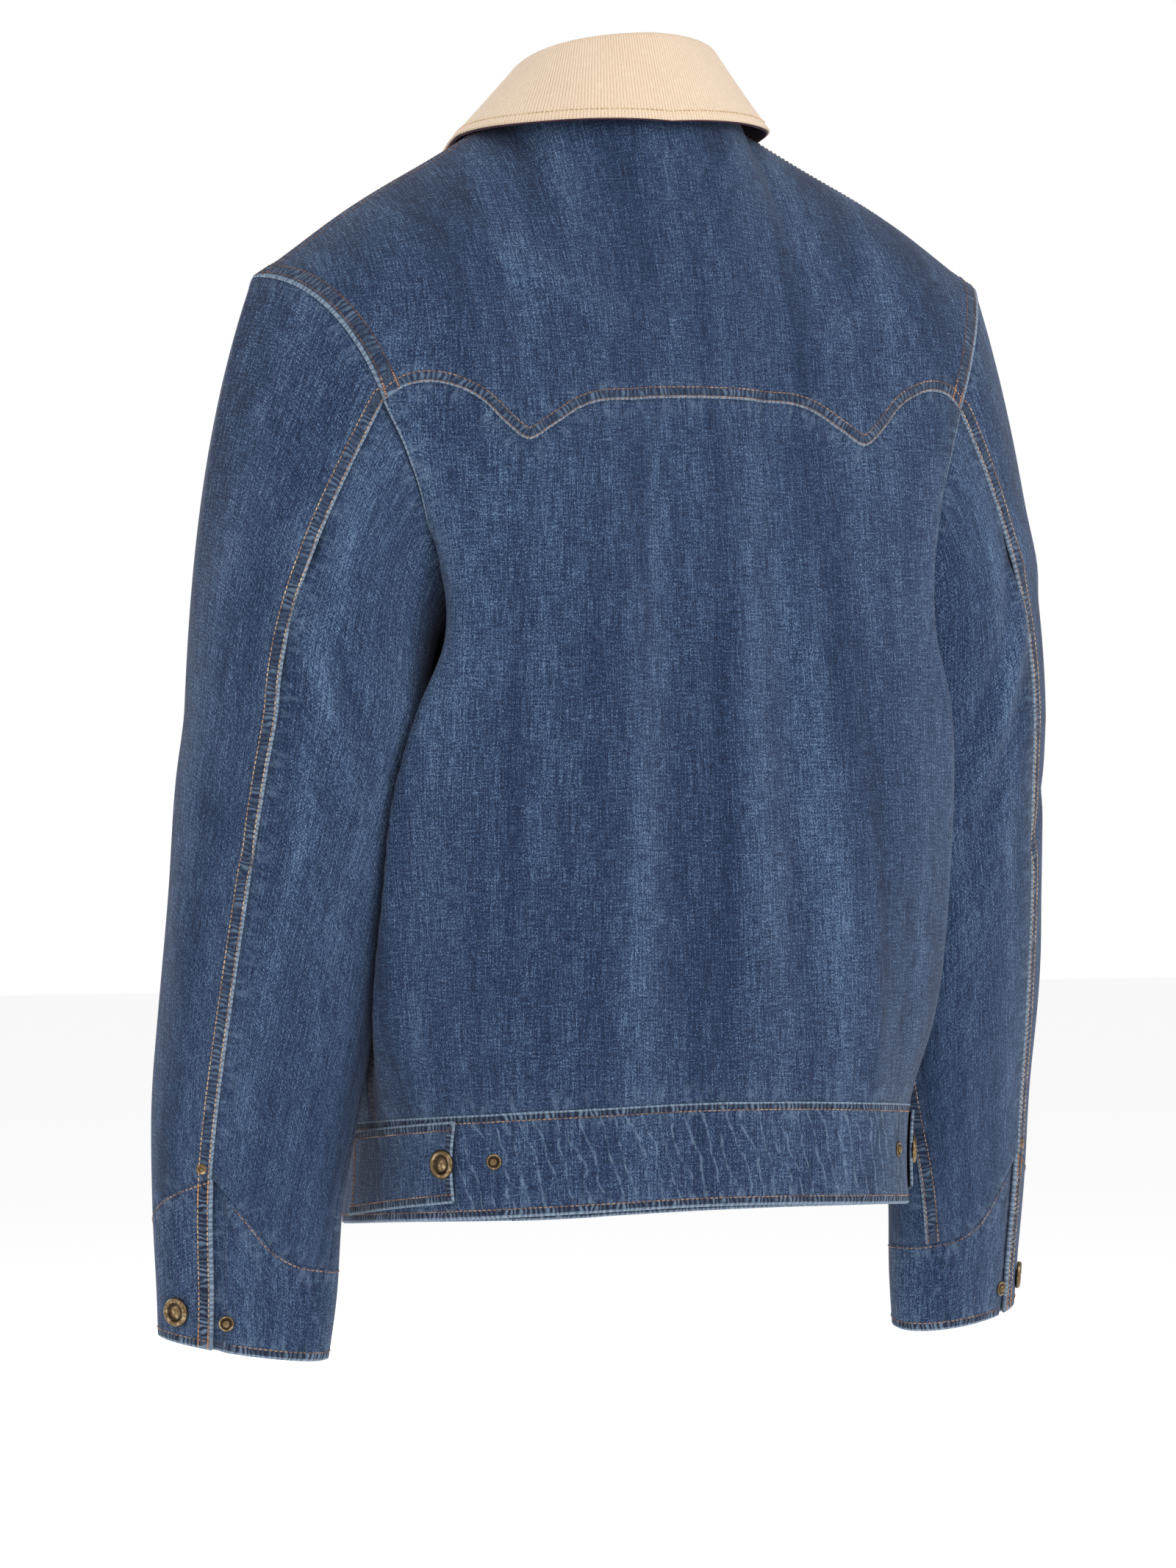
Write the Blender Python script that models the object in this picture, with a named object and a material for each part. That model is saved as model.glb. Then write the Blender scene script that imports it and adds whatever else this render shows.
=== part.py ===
"""A boxy denim jacket with a needlecord collar, hollow and open as it hangs on the shoulders.

The frame: metres, +Z up, the back faces +Y, the wearer's left side is +X. The origin is on the
centre line at the height of the back neck seam, where the shoulders carry the jacket.

Each cloth piece is a wall. Its outer side is a grid of points on one shared garment form, its inner
side is that grid moved in by the wall, and pieces that meet share their edge points less a small gap.
"""

from math import pi, radians

import bmesh
import bpy
import numpy as np
from mathutils import Vector

# Cloth
WALL = 0.0018
BAND_WALL = 0.0028
CORD_WALL = 0.0016
UNDER_WALL = 0.0012
SEAM_GAP = 0.0004
LAY_GAP = 0.0004
FOLDED_GAP = 0.0022

# Hem and waistband
HEM_BACK = -0.657
HEM_FRONT_DROP = 0.028
BAND_HEIGHT = 0.059
FRONT_LAP = radians(6.6)

# Shoulders and neck
NECK_SIDE = 0.074
NECK_MIDDLE_Y = -0.004
NECK_BACK = 0.066
NECK_FRONT = 0.078
NECK_SIDE_DROP = 0.010
NECK_FRONT_DROP = 0.062
SHOULDER_POINT = (0.238, 0.015, -0.112)
SHOULDER_TILT = 0.035

# How finely the grids are cut
NECK_COLUMNS = 7
SHOULDER_COLUMNS = 8
SIDE_ROWS = 10
ARMHOLE_ROWS = 6
YOKE_ROWS = 7
CAP_ROWS = 7
TUBE_ROWS = 11
CUFF_ROWS = 3
BAND_ROWS = 2
LAP_COLUMNS = 4
CUFF_LAP_COLUMNS = 2


def table(names, *rows):
    """A short table as one array for each named column."""
    return dict(zip(names.split(), np.array(rows, float).T))


# The garment's level sections, from below the hem up to the yoke
BODY = table(
    "height half_width back_depth front_depth middle_y",
    (-0.700, 0.168, 0.137, 0.138, 0.018),
    (-0.600, 0.169, 0.136, 0.138, 0.018),
    (-0.560, 0.184, 0.134, 0.137, 0.018),
    (-0.470, 0.196, 0.130, 0.134, 0.018),
    (-0.400, 0.202, 0.124, 0.130, 0.017),
    (-0.330, 0.205, 0.120, 0.127, 0.015),
    (-0.250, 0.216, 0.115, 0.122, 0.012),
    (-0.190, 0.235, 0.108, 0.118, 0.010),
    (-0.150, 0.240, 0.104, 0.114, 0.008),
)
ROUNDNESS = 2.6

# How softly the cloth rolls over beside a sleeve, below it and at the armhole
FOLD_ROLL = 0.004
ARMHOLE_ROLL = 0.016

# The largest folds: turn from the centre back (degrees, wearer's left positive), its width, the
# height of the middle, the reach up and down, and how far it stands out
FOLDS = table(
    "turn width height reach depth",
    (58, 17, -0.330, 0.130, -0.010),
    (-59, 13, -0.330, 0.150, 0.006),
    (63, 14, -0.510, 0.075, -0.011),
    (30, 9, -0.430, 0.170, 0.0045),
    (12, 8, -0.380, 0.190, -0.0040),
    (-8, 9, -0.450, 0.170, 0.0040),
    (-24, 8, -0.390, 0.170, -0.0040),
    (-40, 9, -0.450, 0.150, 0.0050),
    (44, 7, -0.500, 0.110, -0.0040),
    (-52, 7, -0.540, 0.060, -0.0040),
    (150, 10, -0.420, 0.180, 0.0045),
    (128, 9, -0.440, 0.160, -0.0045),
    (-150, 10, -0.420, 0.180, 0.0045),
    (-128, 9, -0.440, 0.160, -0.0045),
)

# The sleeves' level sections: the centre, half the long and the short way across, and the room
# that the body leaves round them
SLEEVE = table(
    "height out_x middle_y long_half short_half room",
    (-0.760, 0.2370, -0.006, 0.0490, 0.0290, 0.003),
    (-0.717, 0.2356, -0.003, 0.0525, 0.0310, 0.003),
    (-0.660, 0.2360, 0.000, 0.0558, 0.0340, 0.003),
    (-0.608, 0.2320, 0.002, 0.0605, 0.0400, 0.003),
    (-0.561, 0.2280, 0.007, 0.0632, 0.0460, 0.003),
    (-0.473, 0.2200, 0.016, 0.0665, 0.0550, 0.003),
    (-0.410, 0.2120, 0.020, 0.0712, 0.0620, 0.003),
    (-0.372, 0.2085, 0.025, 0.0715, 0.0650, 0.004),
    (-0.330, 0.2090, 0.027, 0.0715, 0.0650, 0.015),
    (-0.290, 0.2130, 0.028, 0.0715, 0.0650, 0.016),
    (-0.250, 0.2300, 0.028, 0.0715, 0.0650, 0.012),
    (-0.190, 0.2700, 0.028, 0.0715, 0.0650, 0.003),
)
SLEEVE_TURN = radians(-25)
SLEEVE_TURN_IN = 0.93
SLEEVE_TURN_SLOPE = 2.5
CAP_FOOT = -0.372
CAP_LEAVE_TOP = 0.36
CAP_LEAVE_FOOT = 0.9
CUFF_FOOT = -0.743
CUFF_TILT = (0.10, -0.12)

# The sleeves' largest folds: place round the tube (degrees), width, height, reach, share of radius
SLEEVE_FOLDS = table(
    "around width height reach swell",
    (100, 16, -0.430, 0.050, 0.035),
    (130, 16, -0.480, 0.035, -0.040),
    (40, 15, -0.520, 0.060, 0.030),
    (-60, 18, -0.470, 0.040, -0.045),
    (-20, 16, -0.560, 0.045, 0.030),
    (120, 18, -0.590, 0.040, 0.035),
)
SLEEVE_FOLD_LEAN = 260.0

# Places round the sleeve (degrees) where it meets marks on the armhole, at the foot of the cap
# and at the cuff: the underarm, the yoke's back corner, the shoulder point, the chest corner
SLEEVE_MARKS_CAP = (205, 80, 20, -70, -155)
SLEEVE_MARKS_CUFF = (155, 70, 5, -100, -205)

# The cuff seam's height round the sleeve: its point is at the vent
CUFF_SEAM = table(
    "turn height",
    (70, -0.6424),
    (94, -0.668),
    (106, -0.682),
    (122, -0.6915),
    (147, -0.696),
    (190, -0.6975),
    (250, -0.6965),
    (310, -0.688),
    (360, -0.668),
    (400, -0.652),
    (430, -0.6424),
)

# The yoke seam from the centre back to the armhole: turn (degrees) and height
YOKE_SEAM = table(
    "turn height",
    (0.0, -0.1890),
    (20.0, -0.1905),
    (36.0, -0.1970),
    (42.0, -0.2080),
    (46.0, -0.2150),
    (50.5, -0.2050),
    (54.0, -0.1925),
    (58.0, -0.1840),
    (61.5, -0.1810),
    (65.0, -0.1840),
    (67.6, -0.1920),
)
YOKE_POINT_TURN = 46.0
YOKE_POINT_COLUMN = 3

# The armhole below the yoke's back corner and below the chest: turn (degrees) and height
ARMHOLE_BACK = table(
    "turn height",
    (90, -0.3290),
    (80, -0.3120),
    (70, -0.2860),
    (65.5, -0.2550),
    (65.5, -0.2220),
    (67.6, -0.1920),
)
ARMHOLE_FRONT = table(
    "turn height",
    (90, -0.3290),
    (99, -0.3120),
    (108.5, -0.2850),
    (112.5, -0.2500),
    (112.5, -0.2200),
    (111, -0.1940),
)
NECK_TURN = 36.0
CHEST_NECK_TURN = 147.0

# Collar: from the neck seam, how far in and up the fold is, and how far out, up and aside the edge
COLLAR_END_TURN = radians(174)
COLLAR = table(
    "turn fold_in fold_up edge_out edge_up swing",
    (0, 0.007, 0.031, 0.019, -0.023, 0.000),
    (50, 0.011, 0.030, 0.021, -0.018, 0.000),
    (90, 0.014, 0.028, 0.023, -0.013, 0.002),
    (125, 0.014, 0.026, 0.024, -0.016, 0.010),
    (155, 0.010, 0.022, 0.024, -0.030, 0.026),
    (174, 0.006, 0.018, 0.022, -0.040, 0.034),
)
COLLAR_STAND_ROWS = 2
COLLAR_FOLD_ROWS = 4
COLLAR_FALL_ROWS = 3
COLLAR_FOLD_RADIUS = 0.0030

# Adjuster tabs: turns (degrees), and shares of the band's height at the sewn and the free end
TAB_SEWN_TURN = 100.0
TAB_END_TURN = 60.5
TAB_FOOT = (0.07, 0.16)
TAB_TOP = (0.91, 0.95)
TAB_SNAP_TURN = 63.5
TAB_STUD_TURN = 52.5
TAB_SNAP_SHARE = 0.54

# Snaps, studs and rivets
SNAP_RADIUS = 0.0085
SNAP_HEIGHT = 0.0030
SNAP_WELL = 0.0048
STUD_RADIUS = 0.0046
STUD_HEIGHT = 0.0026
STUD_WELL = 0.0022
RIVET_RADIUS = 0.0034
RIVET_HEIGHT = 0.0016
METAL_SIDES = 16
FRONT_SNAP_HEIGHTS = (-0.140, -0.243, -0.346, -0.449, -0.552)
CUFF_METAL = (
    ("snap_cuff", "snap", 42.0, -0.721),
    ("stud_cuff", "stud", 80.0, -0.727),
    ("rivet", "rivet", 63.0, -0.637),
)

# Colours
DENIM = (0.035, 0.085, 0.21)
SAND = (0.78, 0.60, 0.37)
MAROON = (0.05, 0.02, 0.035)


def spline(at, places, values):
    """A smooth curve through a table's column: cubic pieces whose slopes are the neighbours' chords."""
    at = np.clip(at, places[0], places[-1])
    slope = np.gradient(values, places)
    i = np.clip(np.searchsorted(places, at, side="right") - 1, 0, len(places) - 2)
    span = places[i + 1] - places[i]
    t = (at - places[i]) / span
    rise = values[i + 1] - values[i]
    return (
        values[i]
        + t * span * slope[i]
        + t**2 * (3 * rise - span * (2 * slope[i] + slope[i + 1]))
        + t**3 * (span * (slope[i] + slope[i + 1]) - 2 * rise)
    )


def read(rows, name, at, by="height"):
    """Column `name` of a table, at the values `at` of its column `by`."""
    return spline(at, rows[by], rows[name])


def smooth(x, low, high):
    """0 below low, 1 above high, and an S curve between them."""
    t = np.clip((x - low) / (high - low), 0, 1)
    return t * t * (3 - 2 * t)


def softer_of(a, b, blend):
    """The smaller of two lengths, with the corner between them rounded over about `blend`."""
    least = np.minimum(a, b)
    return least - blend * np.log(np.exp((least - a) / blend) + np.exp((least - b) / blend))


def stacked(x, y, z):
    return np.stack(np.broadcast_arrays(x, y, z), axis=-1)


def tilted(points):
    """The worn garment sits a little lower on the wearer's left shoulder."""
    moved = points.copy()
    x, z = points[..., 0], points[..., 2]
    moved[..., 2] -= SHOULDER_TILT * x * smooth(z, -0.33, -0.05)
    return moved


def sleeve_inside(y, z):
    """The sleeve's side next to the body, as X for each Y and Z: the near side of a turned ellipse.

    Past its widest part the curve runs straight on outwards, so that the cloth folds over there."""
    z = np.minimum(z, SLEEVE["height"][-1])
    long_half = read(SLEEVE, "long_half", z) + read(SLEEVE, "room", z)
    short_half = read(SLEEVE, "short_half", z) + read(SLEEVE, "room", z)
    along, across = np.cos(SLEEVE_TURN), np.sin(SLEEVE_TURN)
    a = (along / long_half) ** 2 + (across / short_half) ** 2
    b = along * across * (1 / long_half**2 - 1 / short_half**2)
    d = (across / long_half) ** 2 + (along / short_half) ** 2
    dy = y - read(SLEEVE, "middle_y", z)
    widest = SLEEVE_TURN_IN * np.sqrt(a / (a * d - b**2))
    near = np.clip(dy, -widest, widest)
    dx = (-b * near - np.sqrt(a - (a * d - b**2) * near**2)) / a
    return read(SLEEVE, "out_x", z) + dx + SLEEVE_TURN_SLOPE * np.abs(dy - near)


def body(turn, z):
    """The garment's form: a rounded section at each height, with folds, pressed in by the sleeves."""
    turn, z = np.broadcast_arrays(turn, z)
    depth = np.where(np.cos(turn) > 0, read(BODY, "back_depth", z), read(BODY, "front_depth", z))
    across = np.abs(np.sin(turn)) / read(BODY, "half_width", z)
    through = np.abs(np.cos(turn)) / depth
    radius = (across**ROUNDNESS + through**ROUNDNESS) ** (-1 / ROUNDNESS)
    for middle, width, height, reach, out in zip(*FOLDS.values()):
        away = (np.degrees(turn) - middle + 180) % 360 - 180
        radius = radius + out * np.exp(-((away / width) ** 2) - ((z - height) / reach) ** 2)
    y = read(BODY, "middle_y", z) + radius * np.cos(turn)
    roll = FOLD_ROLL + (ARMHOLE_ROLL - FOLD_ROLL) * smooth(z, -0.44, -0.32)
    x = softer_of(radius * np.abs(np.sin(turn)), sleeve_inside(y, z), roll)
    return stacked(np.sign(np.sin(turn)) * x, y, z)


def hem_height(turn):
    return HEM_BACK - HEM_FRONT_DROP * (1 - np.cos(turn)) / 2


def coons(foot, top, near, far):
    """A grid that fills four edges: the sum of two ruled grids, less the one through the corners.

    The top edge's waves die out quickly below it."""
    s = np.linspace(0, 1, len(foot))[None, :, None]
    t = np.linspace(0, 1, len(near))[:, None, None] ** 3
    ruled = (1 - t) * foot[None] + t * top[None] + (1 - s) * near[:, None] + s * far[:, None]
    corners = (1 - t) * ((1 - s) * foot[0] + s * foot[-1]) + t * ((1 - s) * top[0] + s * top[-1])
    return ruled - corners


def side_edge(armhole, foot_height):
    """(turn, height) up the side seam and then up the armhole, as evenly as the rows allow."""
    seam = np.linspace(foot_height, armhole["height"][0], SIDE_ROWS + 1)[:-1]
    seam = np.stack([np.full(SIDE_ROWS, pi / 2), seam], axis=1)
    share = np.linspace(0, 1, len(armhole["turn"]))
    at = np.linspace(0, 1, ARMHOLE_ROWS + 1)
    turn = np.radians(spline(at, share, armhole["turn"]))
    return np.concatenate([seam, np.stack([turn, spline(at, share, armhole["height"])], axis=1)])


def band_top(turn):
    return hem_height(turn) + BAND_HEIGHT


def neck(turn):
    """The neck seam, at each turn about the neck from the centre back."""
    depth = np.where(np.cos(turn) > 0, NECK_BACK, NECK_FRONT)
    forward = (1 - np.cos(turn)) / 2
    drop = NECK_SIDE_DROP * np.minimum(2 * forward, 1) + NECK_FRONT_DROP * np.maximum(2 * forward - 1, 0) ** 1.4
    return stacked(NECK_SIDE * np.sin(turn), NECK_MIDDLE_Y + depth * np.cos(turn), -drop)


def neck_turns_front(side):
    """Turns from the neck's side to the lapped edge at the centre front."""
    return side * np.concatenate([np.linspace(pi / 2, pi - FRONT_LAP, NECK_COLUMNS - 1), (pi, pi + FRONT_LAP)])


def shoulder_line():
    """From the neck's side to the shoulder point, sagging a little before it drops over the arm."""
    t = np.linspace(0, 1, SHOULDER_COLUMNS + 1)[:, None]
    start = neck(np.array(pi / 2))
    line = start + (np.array(SHOULDER_POINT) - start) * t
    line[:, 2] += 0.010 * np.sin(pi * t[:, 0]) ** 2 * (t[:, 0] - 0.15)
    return line


def upward(foot, top, rows, lean, crown, level=0):
    """Rows from one curve up to another: they leave the foot upright and round over at the top."""
    t = np.linspace(0, 1, rows + 1)[:, None, None]
    share = np.maximum(np.arange(len(foot)) - level, 0)[None, :] / (len(foot) - 1 - level)
    rise = 1 - (1 - t[..., 0]) ** (1 + crown * share)
    grid = foot[None] + (top - foot)[None] * t
    grid[..., 1] = foot[None, :, 1] + (top - foot)[None, :, 1] * t[..., 0] ** (lean + 0.3 * share)
    grid[..., 2] = foot[None, :, 2] + (top - foot)[None, :, 2] * rise
    return grid


def back_half():
    """The back and its yoke on the wearer's left, rows up from the band and columns out from the centre."""
    inner = np.linspace(0, NECK_TURN, NECK_COLUMNS + 1)
    outer = np.linspace(NECK_TURN, YOKE_SEAM["turn"][-1], SHOULDER_COLUMNS + 1)
    seam_turn = np.concatenate([inner, outer[1:]])
    seam_turn[NECK_COLUMNS + YOKE_POINT_COLUMN - 1] = YOKE_POINT_TURN
    seam_height = read(YOKE_SEAM, "height", seam_turn, by="turn")
    top = np.stack([np.radians(seam_turn), seam_height], axis=1)
    foot_turn = top[:, 0] * (pi / 2) / top[-1, 0]
    foot = np.stack([foot_turn, band_top(foot_turn)], axis=1)
    near = np.stack([np.zeros(SIDE_ROWS + ARMHOLE_ROWS + 1)] * 2, axis=1)
    near[:, 1] = np.linspace(foot[0, 1], top[0, 1], len(near))
    far = side_edge(ARMHOLE_BACK, foot[-1, 1])
    return coons(foot, top, near, far)


def front_half():
    """The front on the wearer's left: columns from the side seam to the lapped edge."""
    lap = 180 + np.degrees(FRONT_LAP)
    outer = np.linspace(ARMHOLE_FRONT["turn"][-1], CHEST_NECK_TURN, SHOULDER_COLUMNS + 1)
    middle = np.linspace(CHEST_NECK_TURN, 360 - lap, NECK_COLUMNS - 1)
    chest_turn = np.radians(np.concatenate([outer, middle[1:], (180, lap)]))
    top = np.stack([chest_turn, np.full(len(chest_turn), ARMHOLE_FRONT["height"][-1])], axis=1)
    edge = 2 * pi - radians(lap)
    spread = (edge - pi / 2) / (edge - chest_turn[0])
    foot_turn = np.where(chest_turn < edge, edge - (edge - chest_turn) * spread, chest_turn)
    foot = np.stack([foot_turn, band_top(foot_turn)], axis=1)
    near = side_edge(ARMHOLE_FRONT, foot[0, 1])
    far = np.stack([np.full(len(near), foot[-1, 0]), np.linspace(foot[-1, 1], top[-1, 1], len(near))], axis=1)
    return coons(foot, top, near, far)


def back_grid():
    """Outer points of the whole back: (rows, columns, 3), from the wearer's right to the left."""
    left = back_half()
    right = left[:, :0:-1] * (-1, 1)
    level = np.concatenate([right, left], axis=1)
    lower = body(level[..., 0], level[..., 1])
    turns = np.linspace(0, pi / 2, NECK_COLUMNS + 1)
    top = np.concatenate([neck(turns), shoulder_line()[1:]])
    top = np.concatenate([top[:0:-1] * (-1, 1, 1), top])
    half = len(top) // 2
    yoke_left = upward(lower[-1, half:], top[half:], YOKE_ROWS, 1.45, 0.75)
    yoke_right = upward(lower[-1, half::-1], top[half::-1], YOKE_ROWS, 1.45, 0.75)
    yoke = np.concatenate([yoke_right[:, :0:-1], yoke_left], axis=1)
    return tilted(np.concatenate([lower, yoke[1:]]))


def front_grid(side):
    """Outer points of one front, turning the same way round as the back's: side is 1 left, -1 right."""
    level = front_half()
    lower = body(side * level[..., 0], level[..., 1])
    top = np.concatenate([shoulder_line()[::-1], neck(neck_turns_front(1))[1:]]) * (side, 1, 1)
    upper = upward(lower[-1, ::-1], top[::-1], YOKE_ROWS, 1.5, 0.75, 2)[:, ::-1]
    grid = tilted(np.concatenate([lower, upper[1:]]))
    return grid if side > 0 else grid[:, ::-1]


def unit(v):
    return v / np.linalg.norm(v, axis=-1, keepdims=True)


def facing_out(grid, closed=False, flip=1):
    """Unit normals of a grid, from the differences between its rows and columns."""
    along = np.gradient(grid, axis=0)
    if closed:
        around = np.roll(grid, -1, axis=1) - np.roll(grid, 1, axis=1)
    else:
        around = np.gradient(grid, axis=1)
    return flip * unit(np.cross(along, around))


def mitred(own, other):
    """The way out of the wall at an edge that two walls share; where they fold back, the ways part."""
    meet = (own * other).sum(-1, keepdims=True)
    full = (own + other) / np.maximum(1 + meet, 0.5)
    apart = (own - other) / np.maximum(np.linalg.norm(own - other, axis=-1, keepdims=True), 0.5)
    return apart + smooth(meet, -0.1, 0.35) * (full - apart)


def drawn_in(grid, edges, gap=SEAM_GAP / 2):
    """The grid with the named edges moved towards their neighbours by the gap."""
    grid = grid.copy()
    for edge in edges.split():
        end, step = (0, 1) if edge.startswith("first") else (-1, -2)
        lines = grid if "row" in edge else grid.swapaxes(0, 1)
        lines[end] += unit(lines[step] - lines[end]) * gap
    return grid


def new_material(name, colour, roughness, metallic=0.0):
    material = bpy.data.materials.new(name)
    material.use_nodes = True
    shader = material.node_tree.nodes["Principled BSDF"]
    shader.inputs["Base Color"].default_value = (*colour, 1.0)
    shader.inputs["Roughness"].default_value = roughness
    shader.inputs["Metallic"].default_value = metallic
    return material


def new_object(name, mesh, material, parent):
    mesh.materials.append(material)
    obj = bpy.data.objects.new(name, mesh)
    obj.parent = parent
    bpy.context.scene.collection.objects.link(obj)
    return obj


def wall_mesh(name, outer, inner, closed=False):
    """A closed wall between two grids, joined round their edges. `closed` joins last column to first."""
    rows, columns = outer.shape[:2]
    mesh = bmesh.new()
    sides = [[[mesh.verts.new(p) for p in row] for row in grid] for grid in (outer, inner)]
    last = columns if closed else columns - 1
    for grid in sides:
        for i in range(rows - 1):
            for j in range(last):
                k = (j + 1) % columns
                mesh.faces.new((grid[i][j], grid[i + 1][j], grid[i + 1][k], grid[i][k]))
    rims = [[(i, j) for j in range(columns)] + ([(i, 0)] if closed else []) for i in (0, rows - 1)]
    if not closed:
        rims += [[(i, j) for i in range(rows)] for j in (0, columns - 1)]
    for rim in rims:
        for (i, j), (k, m) in zip(rim, rim[1:]):
            mesh.faces.new((sides[0][i][j], sides[0][k][m], sides[1][k][m], sides[1][i][j]))
    bmesh.ops.recalc_face_normals(mesh, faces=mesh.faces)
    for face in mesh.faces:
        face.smooth = True
    data = bpy.data.meshes.new(name)
    mesh.to_mesh(data)
    mesh.free()
    data.set_sharp_from_angle(angle=radians(40))
    return data


def add_wall(name, outer, inward, wall, material, parent, closed=False):
    mesh = wall_mesh(name, outer, outer - inward * wall, closed)
    return new_object(name, mesh, material, parent)


def share_edge(first, at_first, second, at_second):
    """Gives two walls that meet along an edge the same way in there."""
    own, other = first[at_first].copy(), second[at_second].copy()
    first[at_first] = mitred(own, other)
    second[at_second] = mitred(other, own)


def body_grids():
    """The back and the two fronts as (outer points, ways in), which agree along their shared seams."""
    back = back_grid()
    fronts = {side: front_grid(side) for side in (1, -1)}
    back_in = facing_out(back)
    fronts_in = {side: facing_out(grid) for side, grid in fronts.items()}
    near_neck, near_edge = slice(SHOULDER_COLUMNS, None, -1), slice(-SHOULDER_COLUMNS - 1, None)
    seam = slice(0, SIDE_ROWS + 1)
    share_edge(back_in, (seam, -1), fronts_in[1], (seam, 0))
    share_edge(back_in, (seam, 0), fronts_in[-1], (seam, -1))
    share_edge(back_in, (-1, near_edge), fronts_in[1], (-1, near_neck))
    share_edge(back_in, (-1, near_neck), fronts_in[-1], (-1, near_edge))
    lapped = slice(0, LAP_COLUMNS)
    fronts[-1][:, lapped] -= fronts_in[-1][:, lapped] * (WALL + LAY_GAP)
    return (back, back_in), {side: (fronts[side], fronts_in[side]) for side in (1, -1)}


def armhole_places(side):
    """Indices of the armhole's points: up the back from the underarm, and down the front after it."""
    back_column, front_column = (-1, 0) if side > 0 else (0, -1)
    return (slice(SIDE_ROWS, None), back_column), (slice(-2, SIDE_ROWS, -1), front_column)


def sleeve_turns():
    """Places round the tube (radians) for each armhole point, at the cap's foot and at the cuff."""
    counts = (ARMHOLE_ROWS, YOKE_ROWS, YOKE_ROWS, ARMHOLE_ROWS)
    marks = np.concatenate([[0], np.cumsum(counts)])
    at = np.arange(marks[-1])
    return [np.radians(np.interp(at, marks, m)) for m in (SLEEVE_MARKS_CAP, SLEEVE_MARKS_CUFF)]


def tube(turn, z, side):
    """The sleeve's form below the cap: a turned ellipse at each height."""
    along = read(SLEEVE, "long_half", z) * np.cos(turn)
    across = read(SLEEVE, "short_half", z) * np.sin(turn)
    x = along * np.cos(SLEEVE_TURN) - across * np.sin(SLEEVE_TURN)
    y = along * np.sin(SLEEVE_TURN) + across * np.cos(SLEEVE_TURN)
    for around, width, height, reach, out in zip(*SLEEVE_FOLDS.values()):
        away = (np.degrees(turn) - around + (z - height) * SLEEVE_FOLD_LEAN + 180) % 360 - 180
        swell = 1 + out * np.exp(-((away / width) ** 2) - ((z - height) / reach) ** 2)
        x, y = x * swell, y * swell
    return stacked(side * (x + read(SLEEVE, "out_x", z)), y + read(SLEEVE, "middle_y", z), z)


def cuff_seam(turn):
    return read(CUFF_SEAM, "height", (np.degrees(turn) - 70) % 360 + 70, by="turn")


def cuff_foot(turn):
    """The cuff's lower edge lies square to the forearm, lower at the back than in front."""
    middle = np.array((read(SLEEVE, "out_x", CUFF_FOOT), read(SLEEVE, "middle_y", CUFF_FOOT)))
    edge = tube(turn, np.full(np.shape(turn), CUFF_FOOT), 1)[..., :2] - middle
    return CUFF_FOOT + edge @ np.array(CUFF_TILT)


def arm_grid(side, ring, ring_in):
    """Outer points of a sleeve and its cuff: the cap from the armhole to the tube, then down the tube."""
    at_cap, at_cuff = sleeve_turns()
    foot = tube(at_cap, np.full(len(at_cap), CAP_FOOT), side)
    reach = np.linalg.norm(foot - ring, axis=1, keepdims=True)
    high = smooth(ring[:, 2:], -0.32, -0.12)
    outward = CAP_LEAVE_FOOT + (CAP_LEAVE_TOP - CAP_LEAVE_FOOT) * high[:, 0]
    leave = unit(stacked(outward * side, 0, -1.0))
    arrive = np.array((0.03 * side, -0.03, -1.0))
    t = np.linspace(0, 1, CAP_ROWS + 1)[:, None, None]
    cap = (
        ring * (1 + 2 * t) * (1 - t) ** 2
        + foot * t**2 * (3 - 2 * t)
        + reach * leave * t * (1 - t) ** 2
        - reach * arrive * t**2 * (1 - t)
    )
    share = np.linspace(0, 1, TUBE_ROWS + 1)[1:, None]
    turn = at_cap + (at_cuff - at_cap) * share
    sleeve = tube(turn, CAP_FOOT + (cuff_seam(turn) - CAP_FOOT) * share, side)
    share = np.linspace(0, 1, CUFF_ROWS + 1)[1:, None]
    turn = np.broadcast_to(at_cuff, (CUFF_ROWS, len(at_cuff)))
    cuff = tube(turn, cuff_seam(turn) + (cuff_foot(turn) - cuff_seam(turn)) * share, side)
    grid = np.concatenate([cap, sleeve, cuff])
    grid_in = facing_out(grid, True, -side)
    folded = 1 - smooth((grid_in[0] * ring_in).sum(-1, keepdims=True), -0.1, 0.35)
    grid[0] += ring_in * folded * FOLDED_GAP
    return grid, grid_in


def place_on(piece, column, height):
    """The point and the way out on a piece's outer side, at a column (fractions count) and a height."""
    grid, grid_in = piece
    low, part = int(np.floor(column)), column % 1
    line = grid[:, low] * (1 - part) + grid[:, (low + 1) % grid.shape[1]] * part
    out = grid_in[:, low] * (1 - part) + grid_in[:, (low + 1) % grid.shape[1]] * part
    order = np.argsort(line[:, 2])
    row = [np.interp(height, line[order, 2], values[order]) for values in (*line.T, *out.T)]
    return np.array(row[:3]), unit(np.array(row[3:]))


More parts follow.
